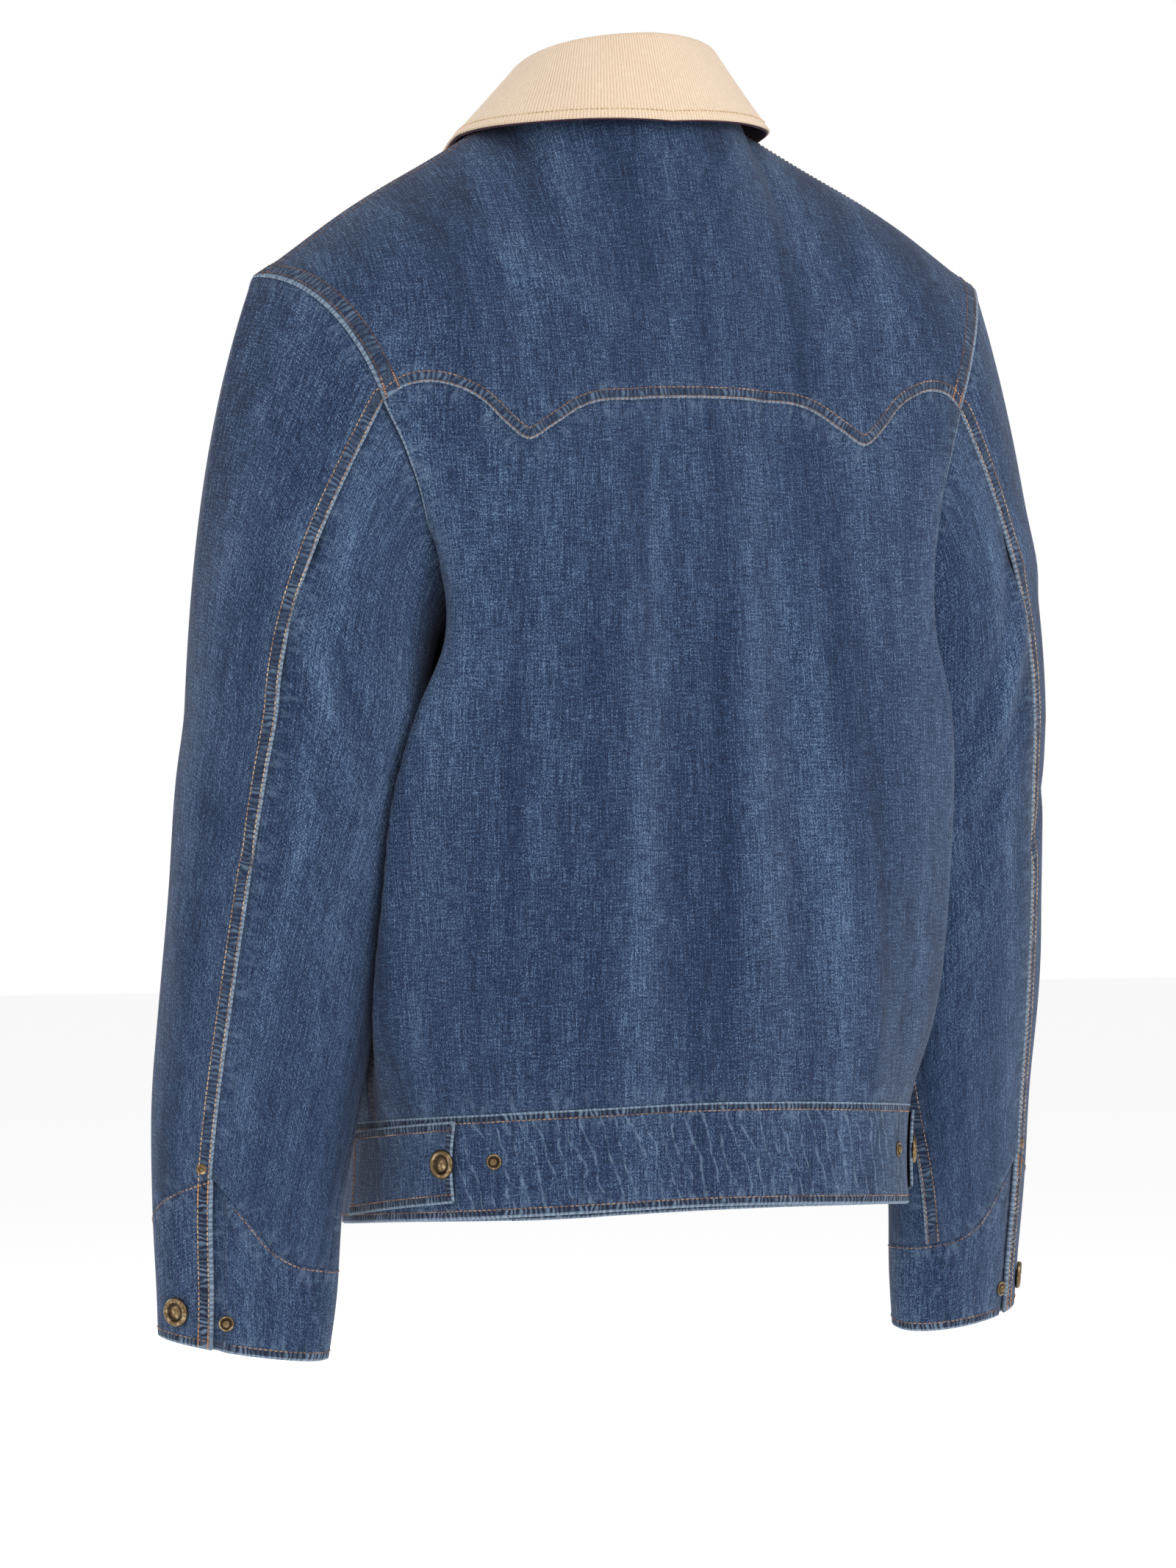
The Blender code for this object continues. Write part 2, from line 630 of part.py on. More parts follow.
def collar_grid():
    """The surface between the two collars: up the stand, round the fold and down the fall."""
    turn = np.concatenate([neck_turns_front(1)[::-1], np.linspace(pi / 2, 0, NECK_COLUMNS + 1)[1:]])[:-1]
    turn = turn[turn <= COLLAR_END_TURN + 0.001]
    turn = np.concatenate([-turn, [0], turn[::-1]])
    size = np.abs(np.degrees(turn))
    fold_in, fold_up, edge_out, edge_up, swing = (
        read(COLLAR, name, size, by="turn") for name in ("fold_in", "fold_up", "edge_out", "edge_up", "swing")
    )
    seam = neck(turn)
    out = unit(stacked(np.sin(turn) / NECK_SIDE, np.cos(turn) / NECK_BACK, 0 * turn))
    base_out, base_up = np.full(len(turn), -UNDER_WALL), np.full(len(turn), SEAM_GAP)
    over = np.radians(np.linspace(180, 35, COLLAR_FOLD_ROWS + 1))[:, None]
    fold_out = -fold_in + COLLAR_FOLD_RADIUS * np.cos(over)
    fold_z = fold_up - COLLAR_FOLD_RADIUS + COLLAR_FOLD_RADIUS * np.sin(over)
    up = np.linspace(0, 1, COLLAR_STAND_ROWS + 1)[:-1, None]
    down = np.linspace(0, 1, COLLAR_FALL_ROWS + 1)[1:, None]
    across = np.concatenate(
        [base_out + (fold_out[0] - base_out) * up, fold_out, fold_out[-1] + (edge_out - fold_out[-1]) * down]
    )
    upward_by = np.concatenate(
        [base_up + (fold_z[0] - base_up) * up, fold_z, fold_z[-1] + (edge_up - fold_z[-1]) * down]
    )
    grid = seam + out * across[..., None]
    grid[..., 2] += upward_by
    grid[-COLLAR_FALL_ROWS:, :, 0] += np.sign(turn) * swing * down
    return tilted(grid)


def add_band(parent, denim):
    """The waistband, one strip from the left lap round the back to the right lap, which lies under it."""
    front, back = front_half()[0, :, 0], back_half()[0, :, 0]
    turn = np.concatenate([-front[::-1], -back[-2:0:-1], back, front[1:]])
    share = np.linspace(0, 1, BAND_ROWS + 1)[:, None]
    grid = body(turn, hem_height(turn) + (BAND_HEIGHT - SEAM_GAP) * share)
    grid_in = facing_out(grid)
    grid[:, :LAP_COLUMNS] -= grid_in[:, :LAP_COLUMNS] * (BAND_WALL + LAY_GAP)
    add_wall("waistband", grid, grid_in, BAND_WALL, denim, parent)
    return (grid, grid_in), np.degrees(turn)


def along_band(band, turns, degrees_round, shares):
    """Points and ways out on the flat-faced band at given turns, and at shares of its height."""
    found = []
    for values in band:
        columns = np.stack([[np.interp(degrees_round, turns, line) for line in row.T] for row in values])
        rows = np.linspace(0, 1, len(values))
        picked = [[np.interp(s, rows, columns[:, axis, j]) for axis in range(3)] for j, s in enumerate(shares)]
        found.append(np.array(picked))
    return found


def add_tab(name, side, band, turns, denim, parent):
    """An adjuster tab: a strip on the band from the side seam back to a free, slightly notched end."""
    between = turns[(turns * side > TAB_END_TURN) & (turns * side < TAB_SEWN_TURN)] * side
    around = side * np.concatenate([[TAB_END_TURN], np.sort(between), [TAB_SEWN_TURN]])
    share = (np.abs(around) - TAB_END_TURN) / (TAB_SEWN_TURN - TAB_END_TURN)
    foot = TAB_FOOT[1] + (TAB_FOOT[0] - TAB_FOOT[1]) * share
    top = TAB_TOP[1] + (TAB_TOP[0] - TAB_TOP[1]) * share
    rows = [along_band(band, turns, around, level) for level in (foot, 0 * foot + 0.5, top)]
    points, way_out = (np.stack([row[k] for row in rows]) for k in (0, 1))
    outer = points + way_out * (LAY_GAP + WALL)
    outer = outer if side > 0 else outer[:, ::-1]
    way_out = way_out if side > 0 else way_out[:, ::-1]
    add_wall(name, outer, way_out, WALL, denim, parent)


def turned_mesh(name, profile):
    """A round piece of metal: the profile (radius, height) spun about its axis."""
    mesh = bmesh.new()
    line = [mesh.verts.new((r, 0, z)) for r, z in profile]
    edges = [mesh.edges.new(pair) for pair in zip(line, line[1:])]
    bmesh.ops.spin(
        mesh, geom=line + edges, cent=(0, 0, 0), axis=(0, 0, 1), angle=2 * pi, steps=METAL_SIDES, use_merge=True
    )
    bmesh.ops.remove_doubles(mesh, verts=mesh.verts, dist=1e-6)
    bmesh.ops.recalc_face_normals(mesh, faces=mesh.faces)
    for face in mesh.faces:
        face.smooth = True
    data = bpy.data.meshes.new(name)
    mesh.to_mesh(data)
    mesh.free()
    data.set_sharp_from_angle(angle=radians(40))
    return data


def snap_profile(radius, height, well):
    """A pressed cap: a rounded rim round a well with a low middle."""
    return (
        (0, 0),
        (radius, 0),
        (radius, 0.6 * height),
        (radius - 0.3 * height, height),
        (well + 0.25 * height, height),
        (well, 0.45 * height),
        (0.3 * well, 0.45 * height),
        (0, 0.6 * height),
    )


def seat(name, mesh, place, lift, parent):
    """Sets a turned piece on a cloth face, square to it."""
    point, way_out = place
    obj = bpy.data.objects.new(name, mesh)
    obj.parent = parent
    obj.location = point + way_out * lift
    obj.rotation_euler = Vector(way_out).to_track_quat("Z", "Y").to_euler()
    bpy.context.scene.collection.objects.link(obj)


def add_metal(fronts, arms, band, turns, parent):
    """Snap caps down the front, on the tabs and cuffs, the spare studs, and the vents' rivets."""
    brass = new_material("antique_brass", (0.23, 0.15, 0.07), 0.42, 0.9)
    cap = turned_mesh("snap", snap_profile(SNAP_RADIUS, SNAP_HEIGHT, SNAP_WELL))
    stud = turned_mesh("stud", snap_profile(STUD_RADIUS, STUD_HEIGHT, STUD_WELL))
    dome = ((0, 0), (RIVET_RADIUS, 0), (0.8 * RIVET_RADIUS, 0.7 * RIVET_HEIGHT), (0, RIVET_HEIGHT))
    rivet = turned_mesh("rivet", dome)
    for mesh in (cap, stud, rivet):
        mesh.materials.append(brass)
    middle = fronts[1][0].shape[1] - 2
    for number, height in enumerate(FRONT_SNAP_HEIGHTS, 1):
        seat(f"snap_front_{number}", cap, place_on(fronts[1], middle, height), LAY_GAP, parent)
    points, ways = along_band(band, turns, [180], [0.5])
    seat("snap_band", cap, (points[0], unit(ways[0])), LAY_GAP, parent)
    at_cuff = np.degrees(sleeve_turns()[1])
    columns = np.arange(len(at_cuff))
    for side, name in ((1, "left"), (-1, "right")):
        places = [side * TAB_SNAP_TURN, side * TAB_STUD_TURN]
        points, ways = along_band(band, turns, places, [TAB_SNAP_SHARE] * 2)
        seat(f"snap_tab_{name}", cap, (points[0], unit(ways[0])), 3 * LAY_GAP + WALL, parent)
        seat(f"stud_band_{name}", stud, (points[1], unit(ways[1])), LAY_GAP, parent)
        for label, mesh, around, height in CUFF_METAL:
            column = np.interp(-around, -at_cuff, columns)
            piece = {"snap": cap, "stud": stud, "rivet": rivet}[mesh]
            seat(f"{label}_{name}", piece, place_on(arms[side], column, height), LAY_GAP, parent)


def add_arm(name, arm, sleeve_rows, denim, parent):
    """A sleeve's two pieces and its cuff, whose end laps under the vent's edge."""
    grid, grid_in = arm
    sleeve = slice(0, sleeve_rows + 1)
    edges = "first_row last_row first_column last_column"
    under = drawn_in(grid[sleeve, : ARMHOLE_ROWS + 1], edges, SEAM_GAP)
    add_wall(f"sleeve_{name}_under", under, grid_in[sleeve, : ARMHOLE_ROWS + 1], WALL, denim, parent)
    rest = np.r_[ARMHOLE_ROWS : grid.shape[1], 0]
    upper = drawn_in(grid[sleeve][:, rest], edges, SEAM_GAP)
    add_wall(f"sleeve_{name}_upper", upper, grid_in[sleeve][:, rest], WALL, denim, parent)
    round_cuff = np.r_[ARMHOLE_ROWS : grid.shape[1], 0 : ARMHOLE_ROWS + CUFF_LAP_COLUMNS + 1]
    cuff, cuff_in = grid[sleeve_rows:][:, round_cuff], grid_in[sleeve_rows:][:, round_cuff]
    lapped = slice(-CUFF_LAP_COLUMNS - 1, None)
    cuff = drawn_in(cuff, "first_row", SEAM_GAP)
    cuff[:, lapped] -= cuff_in[:, lapped] * (BAND_WALL + LAY_GAP)
    add_wall(f"cuff_{name}", cuff, cuff_in, BAND_WALL, denim, parent)


def main():
    for obj in list(bpy.data.objects):
        bpy.data.objects.remove(obj)
    jacket = bpy.data.objects.new("jacket", None)
    bpy.context.scene.collection.objects.link(jacket)
    denim = new_material("denim", DENIM, 0.85)
    needlecord = new_material("needlecord", SAND, 0.9)

    back, fronts = body_grids()
    arms = {}
    for side, name in ((1, "left"), (-1, "right")):
        up_back, down_front = armhole_places(side)
        ring, ring_in = (np.concatenate([back[k][up_back], fronts[side][k][down_front]]) for k in (0, 1))
        grid, grid_in = arm_grid(side, ring, ring_in)
        shared, own = mitred(ring_in, grid_in[0]), mitred(grid_in[0], ring_in)
        count = len(back[1][up_back])
        back[1][up_back], fronts[side][1][down_front], grid_in[0] = shared[:count], shared[count:], own
        fronts[side][1][SIDE_ROWS, down_front[1]] = shared[0]
        fronts[side][1][-1, down_front[1]] = shared[count - 1]
        arms[side] = grid, grid_in
        add_arm(name, arms[side], CAP_ROWS + TUBE_ROWS, denim, jacket)

    seam_row = SIDE_ROWS + ARMHOLE_ROWS
    panel = drawn_in(back[0][: seam_row + 1], "last_row first_column last_column", SEAM_GAP)
    add_wall("back_panel", panel, back[1][: seam_row + 1], WALL, denim, jacket)
    yoke = drawn_in(back[0][seam_row:], "last_row")
    add_wall("back_yoke", yoke, back[1][seam_row:], WALL, denim, jacket)
    for side, name in ((1, "front_left"), (-1, "front_right")):
        grid = drawn_in(fronts[side][0], "last_row")
        add_wall(name, grid, fronts[side][1], WALL, denim, jacket)

    band, turns = add_band(jacket, denim)
    for side, name in ((1, "tab_left"), (-1, "tab_right")):
        add_tab(name, side, band, turns, denim, jacket)

    fold = collar_grid()
    fold_in = facing_out(fold, False, -1)
    add_wall("collar_under", fold, fold_in, UNDER_WALL, new_material("under_collar", MAROON, 0.9), jacket)
    add_wall("collar_top", fold + fold_in * (LAY_GAP + CORD_WALL), fold_in, CORD_WALL, needlecord, jacket)
    add_metal(fronts, arms, band, turns, jacket)


main()
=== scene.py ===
from math import cos, pi, radians, sin

import bpy
import numpy as np
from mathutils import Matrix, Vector


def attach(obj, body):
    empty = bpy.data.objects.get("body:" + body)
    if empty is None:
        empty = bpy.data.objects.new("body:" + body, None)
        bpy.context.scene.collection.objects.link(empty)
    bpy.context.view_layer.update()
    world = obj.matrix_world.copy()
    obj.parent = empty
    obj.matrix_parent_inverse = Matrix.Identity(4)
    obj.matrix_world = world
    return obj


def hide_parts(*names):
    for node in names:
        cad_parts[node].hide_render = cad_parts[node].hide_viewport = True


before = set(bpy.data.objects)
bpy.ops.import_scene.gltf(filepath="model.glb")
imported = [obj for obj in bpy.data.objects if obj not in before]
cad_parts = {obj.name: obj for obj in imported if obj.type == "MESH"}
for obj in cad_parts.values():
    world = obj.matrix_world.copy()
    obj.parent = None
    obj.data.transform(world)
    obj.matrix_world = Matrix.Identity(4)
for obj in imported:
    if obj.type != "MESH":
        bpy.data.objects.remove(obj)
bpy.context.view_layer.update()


# ---------------------------------------------------------------------------------------------
# The studio: a seamless white floor and air, one broad window of light and soft fill all round. The
# camera stands three metres off, level with the middle of the back, behind the garment and towards
# the wearer's left.

CAMERA_TURN = radians(155)
CAMERA_DISTANCE = 3.0
CAMERA_HEIGHT = -0.436
PHOTO_WIDTH = 1600
PHOTO_HEIGHT = 2133
PIXELS_PER_METRE = 2250
PHOTO_AXIS = (835, 1117)
SENSOR = 36.0


def placed(name, data):
    """A new object that holds a mesh, a lamp or a camera, linked into the scene."""
    obj = bpy.data.objects.new(name, data)
    bpy.context.scene.collection.objects.link(obj)
    return obj


behind = Vector((sin(CAMERA_TURN), -cos(CAMERA_TURN), 0.0))
lens = bpy.data.cameras.new("photo_camera")
lens.sensor_fit = "VERTICAL"
lens.sensor_height = SENSOR
lens.lens = PIXELS_PER_METRE * CAMERA_DISTANCE / PHOTO_HEIGHT * SENSOR
lens.shift_x = (PHOTO_WIDTH / 2 - PHOTO_AXIS[0]) / PHOTO_HEIGHT
lens.shift_y = (PHOTO_AXIS[1] - PHOTO_HEIGHT / 2) / PHOTO_HEIGHT
camera = placed("photo_camera", lens)
camera.location = Vector((0, 0, CAMERA_HEIGHT)) + behind * CAMERA_DISTANCE
camera.rotation_euler = behind.to_track_quat("Z", "Y").to_euler()
bpy.context.scene.camera = camera
bpy.context.scene.view_settings.view_transform = "Standard"

FLOOR_HEIGHT = -1.05
FLOOR_HALF = 14.0
floor_mesh = bpy.data.meshes.new("floor")
floor_mesh.from_pydata(
    [(x * FLOOR_HALF, y * FLOOR_HALF, FLOOR_HEIGHT) for x, y in ((-1, -1), (1, -1), (1, 1), (-1, 1))],
    [], [(0, 1, 2, 3)],
)
paper = bpy.data.materials.new("studio_paper")
paper.use_nodes = True
for key, value in (
    ("Base Color", (0.94, 0.94, 0.94, 1)), ("Roughness", 0.95), ("Emission Color", (1, 1, 1, 1)),
    ("Emission Strength", 0.42),
):
    paper.node_tree.nodes["Principled BSDF"].inputs[key].default_value = value
floor_mesh.materials.append(paper)
placed("floor", floor_mesh)

# turn about the garment (degrees), height, size, power, distance
LAMPS = {
    "window": (205, 0.9, 1.6, 30.0, 2.6),
    "fill_right": (105, 0.4, 2.0, 14.0, 2.8),
    "top": (180, 2.4, 2.0, 16.0, 1.4),
    "front_left": (-20, 0.8, 1.8, 22.0, 2.6),
    "front_right": (40, 0.8, 1.8, 16.0, 2.6),
}
for name, (turn, height, size, power, distance) in LAMPS.items():
    lamp = bpy.data.lights.new(name, "AREA")
    lamp.shape = "DISK"
    lamp.size = size
    lamp.energy = power
    light = placed(name, lamp)
    light.location = (sin(radians(turn)) * distance, -cos(radians(turn)) * distance, height)
    towards = Vector(light.location) - Vector((0, 0, CAMERA_HEIGHT))
    light.rotation_euler = towards.to_track_quat("Z", "Y").to_euler()

AIR_LIGHT = 0.55
AIR_SEEN = 1.0
world = bpy.data.worlds.new("studio_air")
world.use_nodes = True
air = world.node_tree
seen_directly = air.nodes.new("ShaderNodeLightPath").outputs["Is Camera Ray"]
strength = air.nodes.new("ShaderNodeMapRange")
strength.inputs["To Min"].default_value = AIR_LIGHT
strength.inputs["To Max"].default_value = AIR_SEEN
air.links.new(seen_directly, strength.inputs["Value"])
air.links.new(strength.outputs["Result"], air.nodes["Background"].inputs["Strength"])
air.nodes["Background"].inputs["Color"].default_value = (1.0, 1.0, 1.0, 1.0)
bpy.context.scene.world = world


# ---------------------------------------------------------------------------------------------
# Back panel and yoke: mid-blue washed denim. The yoke runs over the shoulders to the front and
# comes down to two points at the back, where it laps over the panel and is sewn with two rows.

WALL = 0.0018
SEAM_GAP = 0.0004
LAY_GAP = 0.0004

HEM_BACK = -0.657
HEM_FRONT_DROP = 0.028
BAND_HEIGHT = 0.059
FRONT_LAP = radians(6.6)
NECK_SIDE = 0.074
NECK_MIDDLE_Y = -0.004
NECK_BACK = 0.066
NECK_FRONT = 0.078
NECK_SIDE_DROP = 0.010
NECK_FRONT_DROP = 0.062
SHOULDER_POINT = (0.238, 0.015, -0.112)
SHOULDER_TILT = 0.035

# The tables below repeat the solids' own sizes, in metres and degrees. Cells are those of the solids'
# grids, and each is cut into FINE smaller ones here.
FINE = 5
NECK_CELLS = 7
SHOULDER_CELLS = 8
SIDE_ROWS = 10 * FINE
ARMHOLE_ROWS = 6 * FINE
YOKE_ROWS = 7 * FINE


def table(names, *rows):
    """A short table as one array for each named column."""
    return dict(zip(names.split(), np.array(rows, float).T))


BODY = table(
    "height half_width back_depth front_depth middle_y",
    (-0.700, 0.168, 0.137, 0.138, 0.018),
    (-0.600, 0.169, 0.136, 0.138, 0.018),
    (-0.560, 0.184, 0.134, 0.137, 0.018),
    (-0.470, 0.196, 0.130, 0.134, 0.018),
    (-0.400, 0.202, 0.124, 0.130, 0.017),
    (-0.330, 0.205, 0.120, 0.127, 0.015),
    (-0.250, 0.216, 0.115, 0.122, 0.012),
    (-0.190, 0.235, 0.108, 0.118, 0.010),
    (-0.150, 0.240, 0.104, 0.114, 0.008),
)
ROUNDNESS = 2.6
MAP_HEIGHT = -0.45
FOLD_ROLL = 0.004
ARMHOLE_ROLL = 0.016
FOLDS = table(
    "turn width height reach depth",
    (58, 17, -0.330, 0.130, -0.010),
    (-59, 13, -0.330, 0.150, 0.006),
    (63, 14, -0.510, 0.075, -0.011),
    (30, 9, -0.430, 0.170, 0.0045),
    (12, 8, -0.380, 0.190, -0.0040),
    (-8, 9, -0.450, 0.170, 0.0040),
    (-24, 8, -0.390, 0.170, -0.0040),
    (-40, 9, -0.450, 0.150, 0.0050),
    (44, 7, -0.500, 0.110, -0.0040),
    (-52, 7, -0.540, 0.060, -0.0040),
    (150, 10, -0.420, 0.180, 0.0045),
    (128, 9, -0.440, 0.160, -0.0045),
    (-150, 10, -0.420, 0.180, 0.0045),
    (-128, 9, -0.440, 0.160, -0.0045),
)
SLEEVE = table(
    "height out_x middle_y long_half short_half room",
    (-0.760, 0.2370, -0.006, 0.0490, 0.0290, 0.003),
    (-0.717, 0.2356, -0.003, 0.0525, 0.0310, 0.003),
    (-0.660, 0.2360, 0.000, 0.0558, 0.0340, 0.003),
    (-0.608, 0.2320, 0.002, 0.0605, 0.0400, 0.003),
    (-0.561, 0.2280, 0.007, 0.0632, 0.0460, 0.003),
    (-0.473, 0.2200, 0.016, 0.0665, 0.0550, 0.003),
    (-0.410, 0.2120, 0.020, 0.0712, 0.0620, 0.003),
    (-0.372, 0.2085, 0.025, 0.0715, 0.0650, 0.004),
    (-0.330, 0.2090, 0.027, 0.0715, 0.0650, 0.015),
    (-0.290, 0.2130, 0.028, 0.0715, 0.0650, 0.016),
    (-0.250, 0.2300, 0.028, 0.0715, 0.0650, 0.012),
    (-0.190, 0.2700, 0.028, 0.0715, 0.0650, 0.003),
)
SLEEVE_TURN = radians(-25)
SLEEVE_TURN_IN = 0.93
SLEEVE_TURN_SLOPE = 2.5
YOKE_SEAM = table(
    "turn height",
    (0.0, -0.1890),
    (20.0, -0.1905),
    (36.0, -0.1970),
    (42.0, -0.2080),
    (46.0, -0.2150),
    (50.5, -0.2050),
    (54.0, -0.1925),
    (58.0, -0.1840),
    (61.5, -0.1810),
    (65.0, -0.1840),
    (67.6, -0.1920),
)
YOKE_POINT_TURN = 46.0
YOKE_POINT_COLUMN = 3
ARMHOLE_BACK = table(
    "turn height",
    (90, -0.3290),
    (80, -0.3120),
    (70, -0.2860),
    (65.5, -0.2550),
    (65.5, -0.2220),
    (67.6, -0.1920),
)
ARMHOLE_FRONT = table(
    "turn height",
    (90, -0.3290),
    (99, -0.3120),
    (108.5, -0.2850),
    (112.5, -0.2500),
    (112.5, -0.2200),
    (111, -0.1940),
)
NECK_TURN = 36.0
CHEST_NECK_TURN = 147.0


def spline(at, places, values):
    """A smooth curve through a table's column: cubic pieces whose slopes are the neighbours' chords."""
    at = np.clip(at, places[0], places[-1])
    slope = np.gradient(values, places)
    i = np.clip(np.searchsorted(places, at, side="right") - 1, 0, len(places) - 2)
    span = places[i + 1] - places[i]
    t = (at - places[i]) / span
    rise = values[i + 1] - values[i]
    return (
        values[i]
        + t * span * slope[i]
        + t**2 * (3 * rise - span * (2 * slope[i] + slope[i + 1]))
        + t**3 * (span * (slope[i] + slope[i + 1]) - 2 * rise)
    )


def read(rows, name, at, by="height"):
    """Column `name` of a table, at the values `at` of its column `by`."""
    return spline(at, rows[by], rows[name])


def smooth(x, low, high):
    """0 below low, 1 above high, and an S curve between them."""
    t = np.clip((x - low) / (high - low), 0, 1)
    return t * t * (3 - 2 * t)


def softer_of(a, b, blend):
    """The smaller of two lengths, with the corner between them rounded over about `blend`."""
    least = np.minimum(a, b)
    return least - blend * np.log(np.exp((least - a) / blend) + np.exp((least - b) / blend))


def stacked(x, y, z):
    return np.stack(np.broadcast_arrays(x, y, z), axis=-1)


def tilted(points):
    """The worn garment sits a little lower on the wearer's left shoulder."""
    moved = points.copy()
    x, z = points[..., 0], points[..., 2]
    moved[..., 2] -= SHOULDER_TILT * x * smooth(z, -0.33, -0.05)
    return moved


def sleeve_inside(y, z):
    """The sleeve's side next to the body, as X for each Y and Z: the near side of a turned ellipse.

    Past its widest part the curve runs straight on outwards, so that the cloth folds over there."""
    z = np.minimum(z, SLEEVE["height"][-1])
    long_half = read(SLEEVE, "long_half", z) + read(SLEEVE, "room", z)
    short_half = read(SLEEVE, "short_half", z) + read(SLEEVE, "room", z)
    along, across = np.cos(SLEEVE_TURN), np.sin(SLEEVE_TURN)
    a = (along / long_half) ** 2 + (across / short_half) ** 2
    b = along * across * (1 / long_half**2 - 1 / short_half**2)
    d = (across / long_half) ** 2 + (along / short_half) ** 2
    dy = y - read(SLEEVE, "middle_y", z)
    widest = SLEEVE_TURN_IN * np.sqrt(a / (a * d - b**2))
    near = np.clip(dy, -widest, widest)
    dx = (-b * near - np.sqrt(a - (a * d - b**2) * near**2)) / a
    return read(SLEEVE, "out_x", z) + dx + SLEEVE_TURN_SLOPE * np.abs(dy - near)


def body(turn, z):
    """The garment's form: a rounded section at each height, with folds, pressed in by the sleeves."""
    turn, z = np.broadcast_arrays(turn, z)
    depth = np.where(np.cos(turn) > 0, read(BODY, "back_depth", z), read(BODY, "front_depth", z))
    across = np.abs(np.sin(turn)) / read(BODY, "half_width", z)
    through = np.abs(np.cos(turn)) / depth
    radius = (across**ROUNDNESS + through**ROUNDNESS) ** (-1 / ROUNDNESS)
    for middle, width, height, reach, out in zip(*FOLDS.values()):
        away = (np.degrees(turn) - middle + 180) % 360 - 180
        radius = radius + out * np.exp(-((away / width) ** 2) - ((z - height) / reach) ** 2)
    y = read(BODY, "middle_y", z) + radius * np.cos(turn)
    roll = FOLD_ROLL + (ARMHOLE_ROLL - FOLD_ROLL) * smooth(z, -0.44, -0.32)
    x = softer_of(radius * np.abs(np.sin(turn)), sleeve_inside(y, z), roll)
    return stacked(np.sign(np.sin(turn)) * x, y, z)


def hem_height(turn):
    return HEM_BACK - HEM_FRONT_DROP * (1 - np.cos(turn)) / 2


def coons(foot, top, near, far):
    """A grid that fills four edges: the sum of two ruled grids, less the one through the corners.

    The top edge's waves die out quickly below it."""
    s = np.linspace(0, 1, len(foot))[None, :, None]
    t = np.linspace(0, 1, len(near))[:, None, None] ** 3
    ruled = (1 - t) * foot[None] + t * top[None] + (1 - s) * near[:, None] + s * far[:, None]
    corners = (1 - t) * ((1 - s) * foot[0] + s * foot[-1]) + t * ((1 - s) * top[0] + s * top[-1])
    return ruled - corners


def side_edge(armhole, foot_height):
    """(turn, height) up the side seam and then up the armhole, as evenly as the rows allow."""
    seam = np.linspace(foot_height, armhole["height"][0], SIDE_ROWS + 1)[:-1]
    seam = np.stack([np.full(SIDE_ROWS, pi / 2), seam], axis=1)
    share = np.linspace(0, 1, len(armhole["turn"]))
    at = np.linspace(0, 1, ARMHOLE_ROWS + 1)
    turn = np.radians(spline(at, share, armhole["turn"]))
    return np.concatenate([seam, np.stack([turn, spline(at, share, armhole["height"])], axis=1)])


def band_top(turn):
    return hem_height(turn) + BAND_HEIGHT


def neck(turn):
    """The neck seam, at each turn about the neck from the centre back."""
    depth = np.where(np.cos(turn) > 0, NECK_BACK, NECK_FRONT)
    forward = (1 - np.cos(turn)) / 2
    drop = NECK_SIDE_DROP * np.minimum(2 * forward, 1)
    drop = drop + NECK_FRONT_DROP * np.maximum(2 * forward - 1, 0) ** 1.4
    return stacked(NECK_SIDE * np.sin(turn), NECK_MIDDLE_Y + depth * np.cos(turn), -drop)


def shoulder_line():
    """From the neck's side to the shoulder point, sagging a little before it drops over the arm."""
    t = np.linspace(0, 1, SHOULDER_CELLS * FINE + 1)[:, None]
    start = neck(np.array(pi / 2))
    line = start + (np.array(SHOULDER_POINT) - start) * t
    line[:, 2] += 0.010 * np.sin(pi * t[:, 0]) ** 2 * (t[:, 0] - 0.15)
    return line


def upward(foot, top, rows, lean, crown, level=0):
    """Rows from one curve up to another: they leave the foot upright and round over at the top."""
    t = np.linspace(0, 1, rows + 1)[:, None, None]
    share = np.maximum(np.arange(len(foot)) - level, 0)[None, :] / (len(foot) - 1 - level)
    rise = 1 - (1 - t[..., 0]) ** (1 + crown * share)
    grid = foot[None] + (top - foot)[None] * t
    grid[..., 1] = foot[None, :, 1] + (top - foot)[None, :, 1] * t[..., 0] ** (lean + 0.3 * share)
    grid[..., 2] = foot[None, :, 2] + (top - foot)[None, :, 2] * rise
    return grid


def unit(v):
    return v / np.linalg.norm(v, axis=-1, keepdims=True)


def facing_out(grid, closed=False, flip=1):
    """Unit normals of a grid, from the differences between its rows and columns."""
    along = np.gradient(grid, axis=0)
    if closed:
        around = np.roll(grid, -1, axis=1) - np.roll(grid, 1, axis=1)
    else:
        around = np.gradient(grid, axis=1)
    return flip * unit(np.cross(along, around))


def mitred(own, other):
    """The way out of the wall at an edge that two walls share; where they fold back, the ways part."""
    meet = (own * other).sum(-1, keepdims=True)
    full = (own + other) / np.maximum(1 + meet, 0.5)
    apart = (own - other) / np.maximum(np.linalg.norm(own - other, axis=-1, keepdims=True), 0.5)
    return apart + smooth(meet, -0.1, 0.35) * (full - apart)


def drawn_in(grid, edges, gap=SEAM_GAP / 2):
    """The grid with the named edges moved towards their neighbours by the gap."""
    grid = grid.copy()
    for edge in edges.split():
        end, step = (0, 1) if edge.startswith("first") else (-1, -2)
        lines = grid if "row" in edge else grid.swapaxes(0, 1)
        lines[end] += unit(lines[step] - lines[end]) * gap
    return grid


def share_edge(first, at_first, second, at_second):
    """Gives two walls that meet along an edge the same way in there."""
    own, other = first[at_first].copy(), second[at_second].copy()
    first[at_first] = mitred(own, other)
    second[at_second] = mitred(other, own)


def finer(values):
    """The same columns, each cell cut into FINE equal ones."""
    at = np.linspace(0, len(values) - 1, (len(values) - 1) * FINE + 1)
    return np.interp(at, np.arange(len(values)), values)


